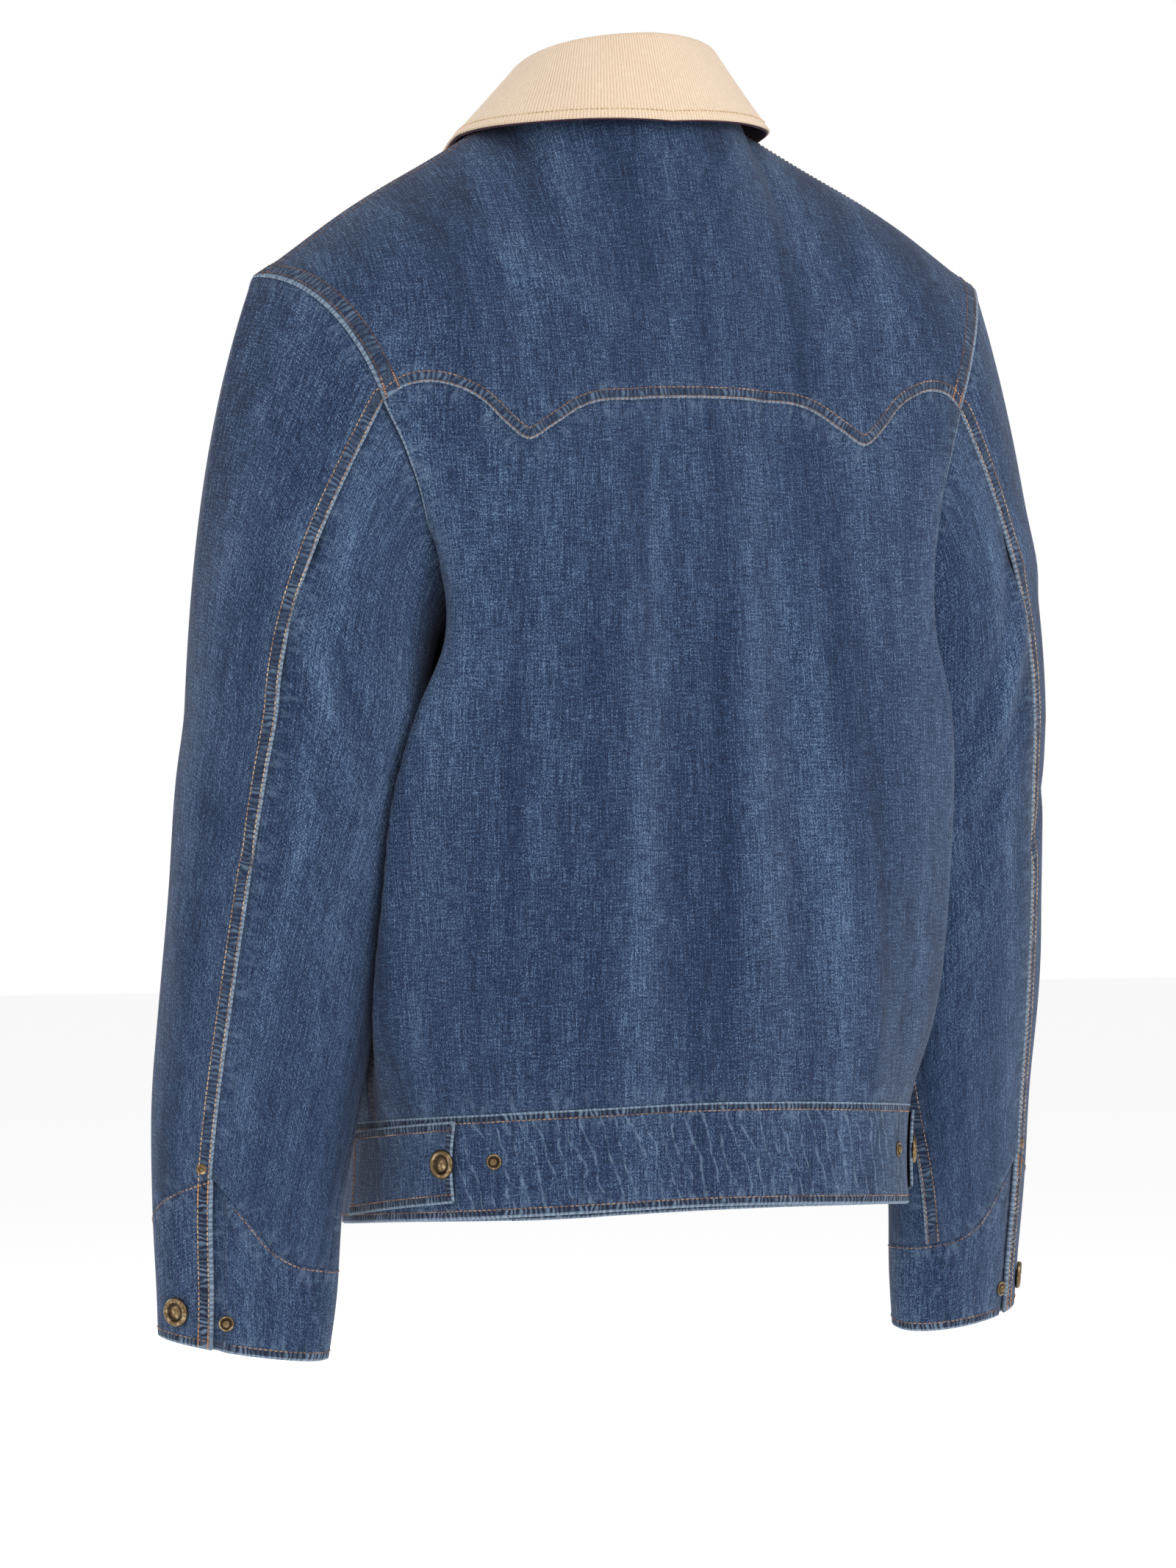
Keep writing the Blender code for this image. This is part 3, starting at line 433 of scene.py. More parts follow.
def back_half():
    """(turn, height) of the wearer's left half below the yoke seam: rows up, columns out from the centre."""
    inner = np.linspace(0, NECK_TURN, NECK_CELLS + 1)
    outer = np.linspace(NECK_TURN, YOKE_SEAM["turn"][-1], SHOULDER_CELLS + 1)
    cells = np.concatenate([inner, outer[1:]])
    cells[NECK_CELLS + YOKE_POINT_COLUMN - 1] = YOKE_POINT_TURN
    seam_turn = finer(cells)
    top = np.stack([np.radians(seam_turn), read(YOKE_SEAM, "height", seam_turn, by="turn")], axis=1)
    foot_turn = top[:, 0] * (pi / 2) / top[-1, 0]
    foot = np.stack([foot_turn, band_top(foot_turn)], axis=1)
    near = np.stack([np.zeros(SIDE_ROWS + ARMHOLE_ROWS + 1)] * 2, axis=1)
    near[:, 1] = np.linspace(foot[0, 1], top[0, 1], len(near))
    return coons(foot, top, near, side_edge(ARMHOLE_BACK, foot[-1, 1]))


def plumb_map(grid, turn):
    """Cloth coordinates in metres whose second axis hangs plumb: the way round the body at each turn
    and the height, then above the turned rows the way across and the way up the columns."""
    round_body = np.linspace(-pi * 1.1, pi * 1.1, 241)
    steps = np.linalg.norm(np.diff(body(round_body, MAP_HEIGHT), axis=0), axis=-1)
    length = np.concatenate([[0], np.cumsum(steps)])
    lower = len(turn) - 1
    across = np.interp(turn, round_body, length - length[120])
    above = across[-1] + grid[lower + 1 :, :, 0] - grid[lower, :, 0]
    up = np.cumsum(np.linalg.norm(np.diff(grid[lower:], axis=0), axis=-1), axis=0)
    height = np.concatenate([grid[: lower + 1, :, 2], grid[lower, :, 2] + up])
    return np.stack([np.concatenate([across, above]), height - HEM_BACK - BAND_HEIGHT], axis=-1)


def back_grid():
    """Outer points of the whole back: rows up to the neck, columns from the wearer's right to the left."""
    left = back_half()
    level = np.concatenate([left[:, :0:-1] * (-1, 1), left], axis=1)
    lower = body(level[..., 0], level[..., 1])
    line = np.concatenate([neck(np.linspace(0, pi / 2, NECK_CELLS * FINE + 1)), shoulder_line()[1:]])
    half = len(line) - 1
    left_yoke = upward(lower[-1, half:], line, YOKE_ROWS, 1.45, 0.75)
    right_yoke = upward(lower[-1, half::-1], line * (-1, 1, 1), YOKE_ROWS, 1.45, 0.75)
    yoke = np.concatenate([right_yoke[:, :0:-1], left_yoke], axis=1)
    grid = tilted(np.concatenate([lower, yoke[1:]]))
    return grid, plumb_map(grid, level[..., 0])


def nearest(points, line, along=False):
    """Distance (mm) from each point of a grid to the nearest point of a line, or how far along it (m)."""
    flat = points.reshape(-1, 3)
    start, step = line[:-1], np.diff(line, axis=0)
    length = np.maximum(np.linalg.norm(step, axis=-1), 1e-9)
    passed = np.concatenate([[0], np.cumsum(length)])
    least, place = np.full(len(flat), np.inf), np.zeros(len(flat))
    for a, b, n, before in zip(start, step, length, passed):
        share = np.clip((flat - a) @ b / n**2, 0, 1)
        away = ((flat - a - share[:, None] * b) ** 2).sum(-1)
        place = np.where(away < least, before + share * n, place)
        least = np.minimum(least, away)
    return place.reshape(points.shape[:-1]) if along else np.sqrt(least).reshape(points.shape[:-1]) * 1000


def cloth_map(grid):
    """Cloth coordinates in metres: across the rows from the middle column, and up the columns."""
    across = np.linalg.norm(np.diff(grid, axis=1), axis=-1).mean(0)
    across = np.concatenate([[0], np.cumsum(across)])
    up = np.linalg.norm(np.diff(grid, axis=0), axis=-1)
    up = np.concatenate([np.zeros((1, grid.shape[1])), np.cumsum(up, axis=0)])
    return np.stack([np.broadcast_to(across - across.mean(), up.shape), up], axis=-1)


def creases(cloth, lines):
    """Height (m) of soft folds laid on the cloth map: each runs from one place to another past a bend.

    Its depth is even along the middle and dies out at the ends; its section is a bell that is a
    little steeper on one side."""
    height = np.zeros(cloth.shape[:2])
    for (u0, v0), (u1, v1), bend, width, depth in lines:
        a, b = np.array((u0, v0)), np.array((u1, v1))
        run = b - a
        length = np.linalg.norm(run)
        along = ((cloth - a) @ run) / length**2
        side = np.array((-run[1], run[0])) / length
        away = (cloth - a) @ side - bend * 4 * along * (1 - along)
        taper = smooth(along, -0.15, 0.25) * (1 - smooth(along, 0.70, 1.15))
        wide = width * (1 + 0.35 * np.tanh(away / width))
        height += depth * taper * np.exp(-((away / wide) ** 2))
    return height


def shell(name, grid, out, wall, cloth, crease=0.0, raised=0.0, values=None):
    """A closed wall of cloth as a new object.

    The outer side is the grid moved out by its creases and its raised seams, the inner side is the
    grid moved in by the wall, and rounded rims join them."""
    rows, columns = grid.shape[:2]
    crease = np.broadcast_to(crease, (rows, columns))[..., None]
    raised = np.broadcast_to(raised, (rows, columns))[..., None]
    outer = grid + out * (crease + raised)
    inner = grid + out * (crease - wall)
    number = np.arange(rows * columns).reshape(rows, columns)
    points, sources = [outer.reshape(-1, 3), inner.reshape(-1, 3)], [number.ravel(), number.ravel()]
    total = rows * columns
    a, b, c, d = number[:-1, :-1], number[:-1, 1:], number[1:, 1:], number[1:, :-1]
    quads = [np.stack([a, d, c, b], -1).reshape(-1, 4), np.stack([a, b, c, d], -1).reshape(-1, 4) + total]
    borders = [
        (number[0], number[1]), (number[-1, ::-1], number[-2, ::-1]),
        (number[::-1, 0], number[::-1, 1]), (number[:, -1], number[:, -2]),
    ]
    added = 2 * total
    for edge, next_in in borders:
        middle = (points[0][edge] + points[1][edge]) / 2
        away = unit(points[0][edge] - points[0][next_in])
        points.append(middle + away * wall * 0.3)
        sources.append(edge)
        rim = added + np.arange(len(edge))
        quads.append(np.stack([edge[:-1], edge[1:], rim[1:], rim[:-1]], -1))
        quads.append(np.stack([rim[:-1], rim[1:], edge[1:] + total, edge[:-1] + total], -1))
        added += len(edge)
    points, sources, quads = np.concatenate(points), np.concatenate(sources), np.concatenate(quads)
    across, up = grid[:-1, 1:] - grid[:-1, :-1], grid[1:, :-1] - grid[:-1, :-1]
    if (np.cross(up, across) * out[:-1, :-1]).sum() < 0:
        quads = quads[:, ::-1]
    mesh = bpy.data.meshes.new(name)
    mesh.from_pydata(points, [], quads)
    mesh.polygons.foreach_set("use_smooth", np.ones(len(quads), bool))
    uv = mesh.uv_layers.new(name="cloth")
    uv.data.foreach_set("uv", cloth.reshape(-1, 2)[sources][quads.ravel()].ravel())
    for key, value in (values or {}).items():
        value = np.broadcast_to(value, (rows, columns)).ravel()[sources]
        mesh.attributes.new(key, "FLOAT", "POINT").data.foreach_set("value", value.astype(np.float32))
    mesh.update()
    return placed(name, mesh), outer


SEAM_RAISE = 0.0007
FAR = 9.0
FAR_MM = 90.0


def seam_values(grid, own, other):
    """How far each point is from the piece's seams, and how much the doubled cloth there stands up.

    `lap` is the distance from an edge that is sewn down on top, as a share of its outer stitch row's;
    `seam_mm` is the distance from the nearest seam of any kind, and `along` the place on that seam.
    `own` holds (edge, outer row in mm)."""
    lines = [line for line, _ in own] + list(other)
    away = np.array([nearest(grid, line) for line in lines])
    place = np.array([nearest(grid, line, along=True) for line in lines])
    first = away.argmin(0)[None]
    laps = [part / row for part, (_, row) in zip(away, own)]
    lap = np.min(laps + [np.full(grid.shape[:2], FAR)], axis=0)
    values = {
        "lap": lap,
        "seam_mm": np.minimum(np.take_along_axis(away, first, 0)[0], FAR_MM),
        "along": np.take_along_axis(place, first, 0)[0],
    }
    return values, SEAM_RAISE * (1 - smooth(lap, 1.0, 1.5))


def contour(points, ways, line, distance_mm, edge):
    """The stitch row at a distance from a seam: where each grid line that leaves the edge reaches it."""
    field = nearest(points, line)
    if edge.endswith("column"):
        points, ways, field = (values.swapaxes(0, 1) for values in (points, ways, field))
    if edge.startswith("last"):
        points, ways, field = points[::-1], ways[::-1], field[::-1]
    past = field >= distance_mm
    column = np.nonzero(past.any(0) & ~past[0])[0]
    row = past[:, column].argmax(0)
    low, high = field[row - 1, column], field[row, column]
    share = ((distance_mm - low) / (high - low))[:, None]
    found = [values[row - 1, column] * (1 - share) + values[row, column] * share for values in (points, ways)]
    return found[0], unit(found[1])


STITCH_LENGTH = 0.0024
STITCH_GAP = 0.0006
THREAD_RADIUS = 0.00042
STITCH_SIDES = 5
STITCH_STATIONS = np.array(((-0.5, 0.35, -0.5), (-0.3, 1.0, 0.3), (0.3, 1.0, 0.3), (0.5, 0.35, -0.5)))


def stitched(name, rows, thread, length=STITCH_LENGTH, gap=STITCH_GAP):
    """Separate stitches along rows of (points, ways out), as one object.

    Each row is cut into equal steps by length, and on each step lies a short thread with five sides
    and four stations (place, thickness, height) that dips into the cloth at both ends."""
    spots, ends, outs = [], [], []
    for points, ways in rows:
        way_along = np.concatenate([[0], np.cumsum(np.linalg.norm(np.diff(points, axis=0), axis=-1))])
        count = max(int(way_along[-1] / (length + gap)), 1)
        middle = (np.arange(count) + 0.5) * way_along[-1] / count
        a, b = (np.stack([np.interp(middle + k, way_along, axis) for axis in points.T], -1)
                for k in (-length / 2, length / 2))
        spots.append((a + b) / 2)
        ends.append(b - a)
        outs.append(np.stack([np.interp(middle, way_along, axis) for axis in ways.T], -1))
    spot, run, out = np.concatenate(spots), np.concatenate(ends), unit(np.concatenate(outs))
    side = unit(np.cross(out, run))
    turn = np.arange(STITCH_SIDES) * 2 * pi / STITCH_SIDES + 0.5 * pi
    along, thick, high = STITCH_STATIONS.T
    centre = spot[:, None] + run[:, None] * along[:, None] + out[:, None] * (high * THREAD_RADIUS)[:, None]
    ring = np.cos(turn)[:, None] * side[:, None, None] + np.sin(turn)[:, None] * out[:, None, None]
    points = centre[:, :, None] + ring * (thick * THREAD_RADIUS)[:, None, None]
    k = np.arange(STITCH_SIDES)
    n = (k + 1) % STITCH_SIDES
    walls = [np.stack([k, n, n + STITCH_SIDES, k + STITCH_SIDES], -1) + j * STITCH_SIDES for j in range(3)]
    walls = np.concatenate(walls)[:, ::-1]
    each = STITCH_SIDES * len(STITCH_STATIONS)
    starts = np.arange(len(spot)) * each
    quads = (starts[:, None, None] + walls).reshape(-1, 4)
    caps = np.stack([k, each - 1 - k])
    caps = (starts[:, None, None] + caps).reshape(-1, STITCH_SIDES)
    mesh = bpy.data.meshes.new(name)
    mesh.from_pydata(points.reshape(-1, 3), [], quads.tolist() + caps.tolist())
    mesh.polygons.foreach_set("use_smooth", np.ones(len(mesh.polygons), bool))
    mesh.materials.append(thread)
    obj = placed(name, mesh)
    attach(obj, "root")
    return obj


back, back_cloth = back_grid()
back_out = facing_out(back)

seam_row = SIDE_ROWS + ARMHOLE_ROWS
yoke_line = back[seam_row]
armhole_back = {1: back[SIDE_ROWS:, -1], -1: back[SIDE_ROWS:, 0]}
side_seam = {1: back[: SIDE_ROWS + 1, -1], -1: back[: SIDE_ROWS + 1, 0]}



def node(tree, kind, inputs=None, **settings):
    """A new shader node with its settings and its inputs, which are values or other nodes' outputs."""
    made = tree.nodes.new(kind)
    for key, value in settings.items():
        setattr(made, key, value)
    for key, value in (inputs or {}).items():
        if isinstance(value, bpy.types.NodeSocket):
            tree.links.new(value, made.inputs[key])
        else:
            made.inputs[key].default_value = value
    return made


def noise(tree, place, scale, detail=2.0, roughness=0.55):
    """Noise from 0 to 1 with its own scale along each axis of `place`, in cells per metre."""
    spread = node(tree, "ShaderNodeMapping", {"Vector": place, "Scale": scale}).outputs[0]
    inputs = {"Vector": spread, "Scale": 1.0, "Detail": detail, "Roughness": roughness}
    return node(tree, "ShaderNodeTexNoise", inputs).outputs["Fac"]


def ramp(tree, value, low, high, at_low=0.0, at_high=1.0):
    """A soft step of a value between two limits."""
    inputs = {"Value": value, "From Min": low, "From Max": high, "To Min": at_low, "To Max": at_high}
    return node(tree, "ShaderNodeMapRange", inputs, interpolation_type="SMOOTHSTEP").outputs["Result"]


def maths(tree, kind, *values):
    return node(tree, "ShaderNodeMath", dict(enumerate(values)), operation=kind).outputs[0]


def mixed(tree, share, first, second):
    made = node(tree, "ShaderNodeMix", {0: share, 6: first, 7: second}, data_type="RGBA")
    return made.outputs[2]


def attribute(tree, name):
    return node(tree, "ShaderNodeAttribute", attribute_name=name).outputs["Fac"]


def times(tree, first, second):
    return maths(tree, "MULTIPLY", first, second)


def new_finish(name):
    """A new material, and its node tree."""
    material = bpy.data.materials.new(name)
    material.use_nodes = True
    return material, material.node_tree


def finish(tree, color, roughness, bump, plain=()):
    """Joins colour, roughness and a bump of (height, strength, distance) to the shader, and sets the
    sockets that are the same all over."""
    shader = tree.nodes["Principled BSDF"]
    made = node(tree, "ShaderNodeBump", dict(zip(("Height", "Strength", "Distance"), bump)))
    tree.links.new(color, shader.inputs["Base Color"])
    tree.links.new(roughness, shader.inputs["Roughness"])
    tree.links.new(made.outputs["Normal"], shader.inputs["Normal"])
    for key, value in plain:
        shader.inputs[key].default_value = value


# Linear colours of the washed denim: in the weave's hollows, over most of it, on its slubs, where it
# is rubbed, and on worn edges
INDIGO = (0.0046, 0.0115, 0.0370, 1)
BLUE = (0.0205, 0.0462, 0.1130, 1)
SLUB = (0.1250, 0.2000, 0.3200, 1)
RUBBED = (0.1700, 0.2500, 0.3600, 1)
FRAYED = (0.2600, 0.3400, 0.4300, 1)
ROPE_PITCH = 0.0031
SCUFF_PITCH = 0.0085


def washed_denim_group():
    """Colour, roughness and height of worn denim, from its cloth map and its distances to the seams.

    The tone is a sum of noises: fine flecks, warp slubs stretched up the cloth, weft slubs stretched
    across it, a twill wave on the slant, and broad faded columns, plus painted fold shade: the tone
    is lowered in the folds' troughs as painted shade and raised on their ridges as painted highlight
    and rubbing. Near a seam the cloth is rubbed pale in patches, between its stitch rows it is roped
    dark and pale on the slant, and its very edge is frayed pale."""
    tree = bpy.data.node_groups.new("washed_denim", "ShaderNodeTree")
    for name, value in (("Rubbing", 1.0), ("Scuffs", 0.0), ("Roping", 1.0)):
        tree.interface.new_socket(name, in_out="INPUT", socket_type="NodeSocketFloat").default_value = value
    for name, kind in (("Color", "Color"), ("Roughness", "Float"), ("Height", "Float")):
        tree.interface.new_socket(name, in_out="OUTPUT", socket_type="NodeSocket" + kind)
    given, result = tree.nodes.new("NodeGroupInput").outputs, tree.nodes.new("NodeGroupOutput").inputs
    place = node(tree, "ShaderNodeUVMap", uv_map="cloth").outputs["UV"]
    lap, seam, fold, along = (attribute(tree, name) for name in ("lap", "seam_mm", "fold", "along"))
    away = times(tree, seam, 0.001)
    beside = node(tree, "ShaderNodeCombineXYZ", {"X": along, "Y": away}).outputs[0]

    flecks = noise(tree, place, (1700, 1250, 1), 1, 0.7)
    grain = noise(tree, place, (1150, 700, 1), 1, 0.7)
    warp = noise(tree, place, (1000, 34, 1), 1, 0.7)
    thread = noise(tree, place, (1500, 110, 1), 1, 0.6)
    weft = noise(tree, place, (90, 850, 1), 1, 0.6)
    broad = noise(tree, place, (30, 2.4, 1), 2, 0.5)
    clouds = noise(tree, place, (34, 22, 1), 3, 0.6)
    slant = node(tree, "ShaderNodeMapping", {"Vector": place, "Rotation": (0, 0, radians(-27))}).outputs[0]
    twill = {"Vector": slant, "Scale": 330.0, "Distortion": 0.6}
    twill = node(tree, "ShaderNodeTexWave", twill).outputs["Fac"]
    # Painted shade and highlight: the folds' heights lower the tone in their troughs and raise it on their
    # ridges (partly rubbing there)
    tone_and_fold_shade = times(tree, fold, 0.06)
    for share, part in (
        (1.45, flecks), (1.00, grain), (0.62, warp), (0.62, thread), (0.52, weft), (0.08, twill),
        (0.66, broad), (0.18, clouds),
    ):
        tone_and_fold_shade = maths(tree, "ADD", tone_and_fold_shade, times(tree, maths(tree, "SUBTRACT", part, 0.5), share))
    color = mixed(tree, ramp(tree, tone_and_fold_shade, -0.30, 0.12), INDIGO, BLUE)
    color = mixed(tree, ramp(tree, tone_and_fold_shade, 0.06, 0.50), color, SLUB)

    patches = noise(tree, place, (210, 150, 1), 3, 0.65)
    puckers = noise(tree, beside, (260, 75, 1), 2, 0.6)
    rubbed = times(tree, ramp(tree, seam, 3.0, 16.0, 1.0, 0.0), ramp(tree, puckers, 0.46, 0.68))
    rubbed = times(tree, rubbed, given["Rubbing"])
    color = mixed(tree, times(tree, rubbed, 0.26), color, RUBBED)

    turned = node(tree, "ShaderNodeMapping", {"Vector": place, "Rotation": (0, 0, radians(16))}).outputs[0]
    wander = times(tree, noise(tree, turned, (55, 34, 1), 2, 0.5), 13)
    across = node(tree, "ShaderNodeSeparateXYZ", {"Vector": turned}).outputs["X"]
    across = times(tree, across, 2 * pi / SCUFF_PITCH)
    waves = maths(tree, "SINE", maths(tree, "ADD", across, wander))
    scuffs = times(tree, ramp(tree, waves, 0.74, 1.0), ramp(tree, patches, 0.38, 0.60))
    scuffs = times(tree, scuffs, given["Scuffs"])
    color = mixed(tree, times(tree, scuffs, 0.55), color, RUBBED)

    band = times(tree, ramp(tree, lap, 0.16, 0.28), ramp(tree, lap, 0.92, 1.10, 1.0, 0.0))
    band = times(tree, band, given["Roping"])
    uneven = noise(tree, beside, (95, 60, 1), 2, 0.6)
    turns = times(tree, along, 2 * pi / ROPE_PITCH)
    turns = maths(tree, "ADD", turns, times(tree, uneven, 22))
    roping = ramp(tree, maths(tree, "SINE", turns), -0.9, 1.0)
    color = mixed(tree, times(tree, band, 0.66), color, INDIGO)
    pale = times(tree, roping, ramp(tree, uneven, 0.40, 0.62, 0.25, 1.0))
    pale = times(tree, band, pale)
    color = mixed(tree, times(tree, pale, 0.50), color, RUBBED)
    fray = ramp(tree, roping, 0.0, 1.0, 0.35, 0.85)
    fray = times(tree, ramp(tree, lap, 0.12, 0.24, 1.0, 0.0), fray)
    color = mixed(tree, fray, color, FRAYED)

    height = maths(tree, "ADD", times(tree, thread, 0.5), times(tree, weft, 0.3))
    for share, part in ((0.5, flecks), (0.2, twill), (0.8, rubbed), (1.1, scuffs)):
        height = maths(tree, "ADD", height, times(tree, part, share))
    height = maths(tree, "ADD", height, times(tree, band, times(tree, roping, 3.0)))
    for row in (0.27, 1.0):
        groove = maths(tree, "ABSOLUTE", maths(tree, "SUBTRACT", lap, row))
        height = maths(tree, "SUBTRACT", height, ramp(tree, groove, 0.03, 0.16, 0.9, 0.0))
    tree.links.new(color, result["Color"])
    tree.links.new(ramp(tree, tone_and_fold_shade, -0.15, 0.2, 0.90, 0.80), result["Roughness"])
    tree.links.new(height, result["Height"])
    return tree


washed_denim = washed_denim_group()


def denim(name, rubbing=1.0, scuffs=0.0, roping=1.0):
    """A denim finish: the shared group, with a fine bump and a little sheen of loose fibres."""
    material, tree = new_finish(name)
    given = {"Rubbing": rubbing, "Scuffs": scuffs, "Roping": roping}
    made = node(tree, "ShaderNodeGroup", node_tree=washed_denim)
    for key, value in given.items():
        made.inputs[key].default_value = value
    plain = (("Specular IOR Level", 0.22), ("Sheen Weight", 0.08), ("Sheen Roughness", 0.6))
    made = made.outputs
    finish(tree, made["Color"], made["Roughness"], (made["Height"], 0.5, 0.0006), plain)
    return material


def spun_thread(name, dark, light):
    """Waxed sewing thread, faded by washing along its length, with a fine twist."""
    material, tree = new_finish(name)
    place = node(tree, "ShaderNodeTexCoord").outputs["Object"]
    faded = noise(tree, place, (90, 90, 90), 3, 0.7)
    twist = noise(tree, place, (2500, 2500, 2500), 1)
    color = mixed(tree, ramp(tree, faded, 0.36, 0.66), dark, light)
    finish(tree, color, ramp(tree, twist, 0.2, 0.8, 0.7, 0.5), (twist, 0.4, 0.0003))
    return material


rust_thread = spun_thread("rust_thread", (0.120, 0.062, 0.050, 1), (0.400, 0.255, 0.180, 1))
brown_thread = spun_thread("brown_thread", (0.045, 0.022, 0.026, 1), (0.190, 0.095, 0.065, 1))
tan_thread = spun_thread("tan_thread", (0.220, 0.120, 0.080, 1), (0.600, 0.420, 0.270, 1))
orange_thread = spun_thread("orange_thread", (0.520, 0.190, 0.070, 1), (0.700, 0.330, 0.130, 1))
panel_denim = denim("panel_denim", roping=0.0)
yoke_denim = denim("yoke_denim")

# Folds on the cloth map of the back: from, to, bend, width and depth in metres
BACK_CREASES = (
    ((-0.19, 0.05), (-0.17, 0.36), 0.006, 0.013, 0.0022),
    ((-0.125, 0.00), (-0.11, 0.30), -0.005, 0.011, -0.0018),
    ((-0.06, 0.04), (-0.065, 0.38), 0.006, 0.012, 0.0018),
    ((0.00, 0.00), (-0.01, 0.33), -0.006, 0.010, -0.0016),
    ((0.055, 0.05), (0.065, 0.40), 0.006, 0.013, 0.0020),
    ((0.12, 0.00), (0.125, 0.28), -0.006, 0.010, -0.0020),
    ((0.16, 0.10), (0.17, 0.36), 0.008, 0.012, 0.0022),
    ((0.188, 0.30), (0.186, 0.45), 0.000, 0.005, 0.0022),
    ((-0.10, 0.44), (-0.16, 0.52), 0.006, 0.014, 0.0020),
    ((0.06, 0.45), (0.14, 0.53), -0.008, 0.014, 0.0022),
    ((0.02, 0.44), (0.05, 0.58), 0.006, 0.012, -0.0016),
    ((-0.03, 0.46), (-0.06, 0.60), -0.006, 0.012, 0.0014),
)


def piece(obj, material, stands_for, flat, area, threads=(), slot="denim", held="hung"):
    """Gives a cloth piece its finish and its body, and hides its CAD node; its cut size and record slot are
    not used.
    """
    obj.data.materials.append(material)
    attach(obj, "root")
    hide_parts(stands_for)


# The panel's side edge swells towards the sleeve, clear of it: (middle on the map, width, height)
SIDE_FOLDS = ((0.199, 0.020, 0.005), (-0.199, 0.018, 0.004))
# It rises between the first two heights on the map and dies out between the last two
SIDE_FOLD_RISE = (0.19, 0.30)
SIDE_FOLD_END = (0.32, 0.40)
# Distances from a seam in millimetres: where the side folds start, and the stitch rows
FOLD_CLEAR = (1.0, 10.0)
PANEL_EDGE = 5.0
YOKE_ROW = 6.2
ARMHOLE_ROW = 11.0
SIDE_STITCHES = (1.8, 8.0)
YOKE_STITCHES = (1.4, YOKE_ROW)
ARMHOLE_STITCHES = (3.6, ARMHOLE_ROW)
NECK_STITCHES = (1.8, 7.0)
BARTACK = {"length": 0.0013, "gap": 0.0001}
# Fold height (m) at which the painted fold shade and highlight are at full strength
FOLD_SHADE_HEIGHT = 0.002
PANEL_CUT = (0.56, 0.44)
PANEL_AREA = 0.20
YOKE_CUT = (0.52, 0.27)
YOKE_AREA = 0.089

back_fold = creases(back_cloth, BACK_CREASES)
panel, yoke = slice(0, seam_row + 1), slice(seam_row, None)
high = smooth(back_cloth[..., 1], *SIDE_FOLD_RISE) * (1 - smooth(back_cloth[..., 1], *SIDE_FOLD_END))
clear = smooth(np.minimum(nearest(back, armhole_back[1]), nearest(back, armhole_back[-1])), *FOLD_CLEAR)
for middle, width, height in SIDE_FOLDS:
    back_fold += height * high * clear * np.exp(-(((back_cloth[..., 0] - middle) / width) ** 2))
panel_values, panel_raised = seam_values(
    back[panel], [(armhole_back[1], PANEL_EDGE), (armhole_back[-1], PANEL_EDGE)],
    [yoke_line, side_seam[1], side_seam[-1], back[0]],
)
# Fold heights, for the painted shade in the troughs and the painted highlight on the ridges
panel_values["fold"] = np.clip(back_fold[panel] / FOLD_SHADE_HEIGHT, -1, 1)
obj, surface = shell(
    "back_panel_cloth", drawn_in(back[panel], "last_row"), back_out[panel], WALL, back_cloth[panel],
    back_fold[panel], panel_raised, values=panel_values,
)
rows = [
    contour(surface[:SIDE_ROWS], back_out[:SIDE_ROWS], side_seam[side], row, edge)
    for side, edge in ((1, "last column"), (-1, "first column")) for row in SIDE_STITCHES
]
panel_stitches = stitched("back_panel_stitches", rows, brown_thread)
piece(obj, panel_denim, "back_panel", PANEL_CUT, PANEL_AREA, [panel_stitches])

yoke_values, yoke_raised = seam_values(
    back[yoke], [(yoke_line, YOKE_ROW), (armhole_back[1], ARMHOLE_ROW), (armhole_back[-1], ARMHOLE_ROW)],
    [back[-1]],
)
# Fold heights, for the painted shade in the troughs and the painted highlight on the ridges
yoke_values["fold"] = np.clip(back_fold[yoke] / FOLD_SHADE_HEIGHT, -1, 1)
obj, surface = shell(
    "back_yoke_cloth", back[yoke], back_out[yoke], WALL, back_cloth[yoke], back_fold[yoke], yoke_raised,
    values=yoke_values,
)
rows = [contour(surface, back_out[yoke], yoke_line, row, "first row") for row in YOKE_STITCHES]
yoke_stitches = stitched("back_yoke_stitches", rows, rust_thread)
rows = [
    contour(surface, back_out[yoke], armhole_back[side], row, edge)
    for side, edge in ((1, "last column"), (-1, "first column")) for row in ARMHOLE_STITCHES
]
rows += [contour(surface, back_out[yoke], back[-1], row, "last row") for row in NECK_STITCHES]
armhole_stitches = stitched("back_armhole_stitches", rows, brown_thread)
corners = [tuple(part[:4] for part in rows[k]) for k in range(4)]
corner_stitches = stitched("yoke_corner_stitches", corners, orange_thread, **BARTACK)
piece(obj, yoke_denim, "back_yoke", YOKE_CUT, YOKE_AREA, [yoke_stitches, armhole_stitches, corner_stitches])


# ---------------------------------------------------------------------------------------------
# Fronts: the same denim, plain below the collar. The left front laps over the right one and closes
# on it with snaps; both are joined to the back at the side seams and along the shoulders.

CHEST_COLUMNS = (NECK_CELLS - 2) * FINE
LAP_HALF = FINE


def neck_turns_front():
    """Turns from the neck's side to the lapped edge at the centre front."""
    lap = np.linspace(pi - FRONT_LAP, pi + FRONT_LAP, 2 * LAP_HALF + 1)
    return np.concatenate([np.linspace(pi / 2, pi - FRONT_LAP, CHEST_COLUMNS + 1), lap[1:]])


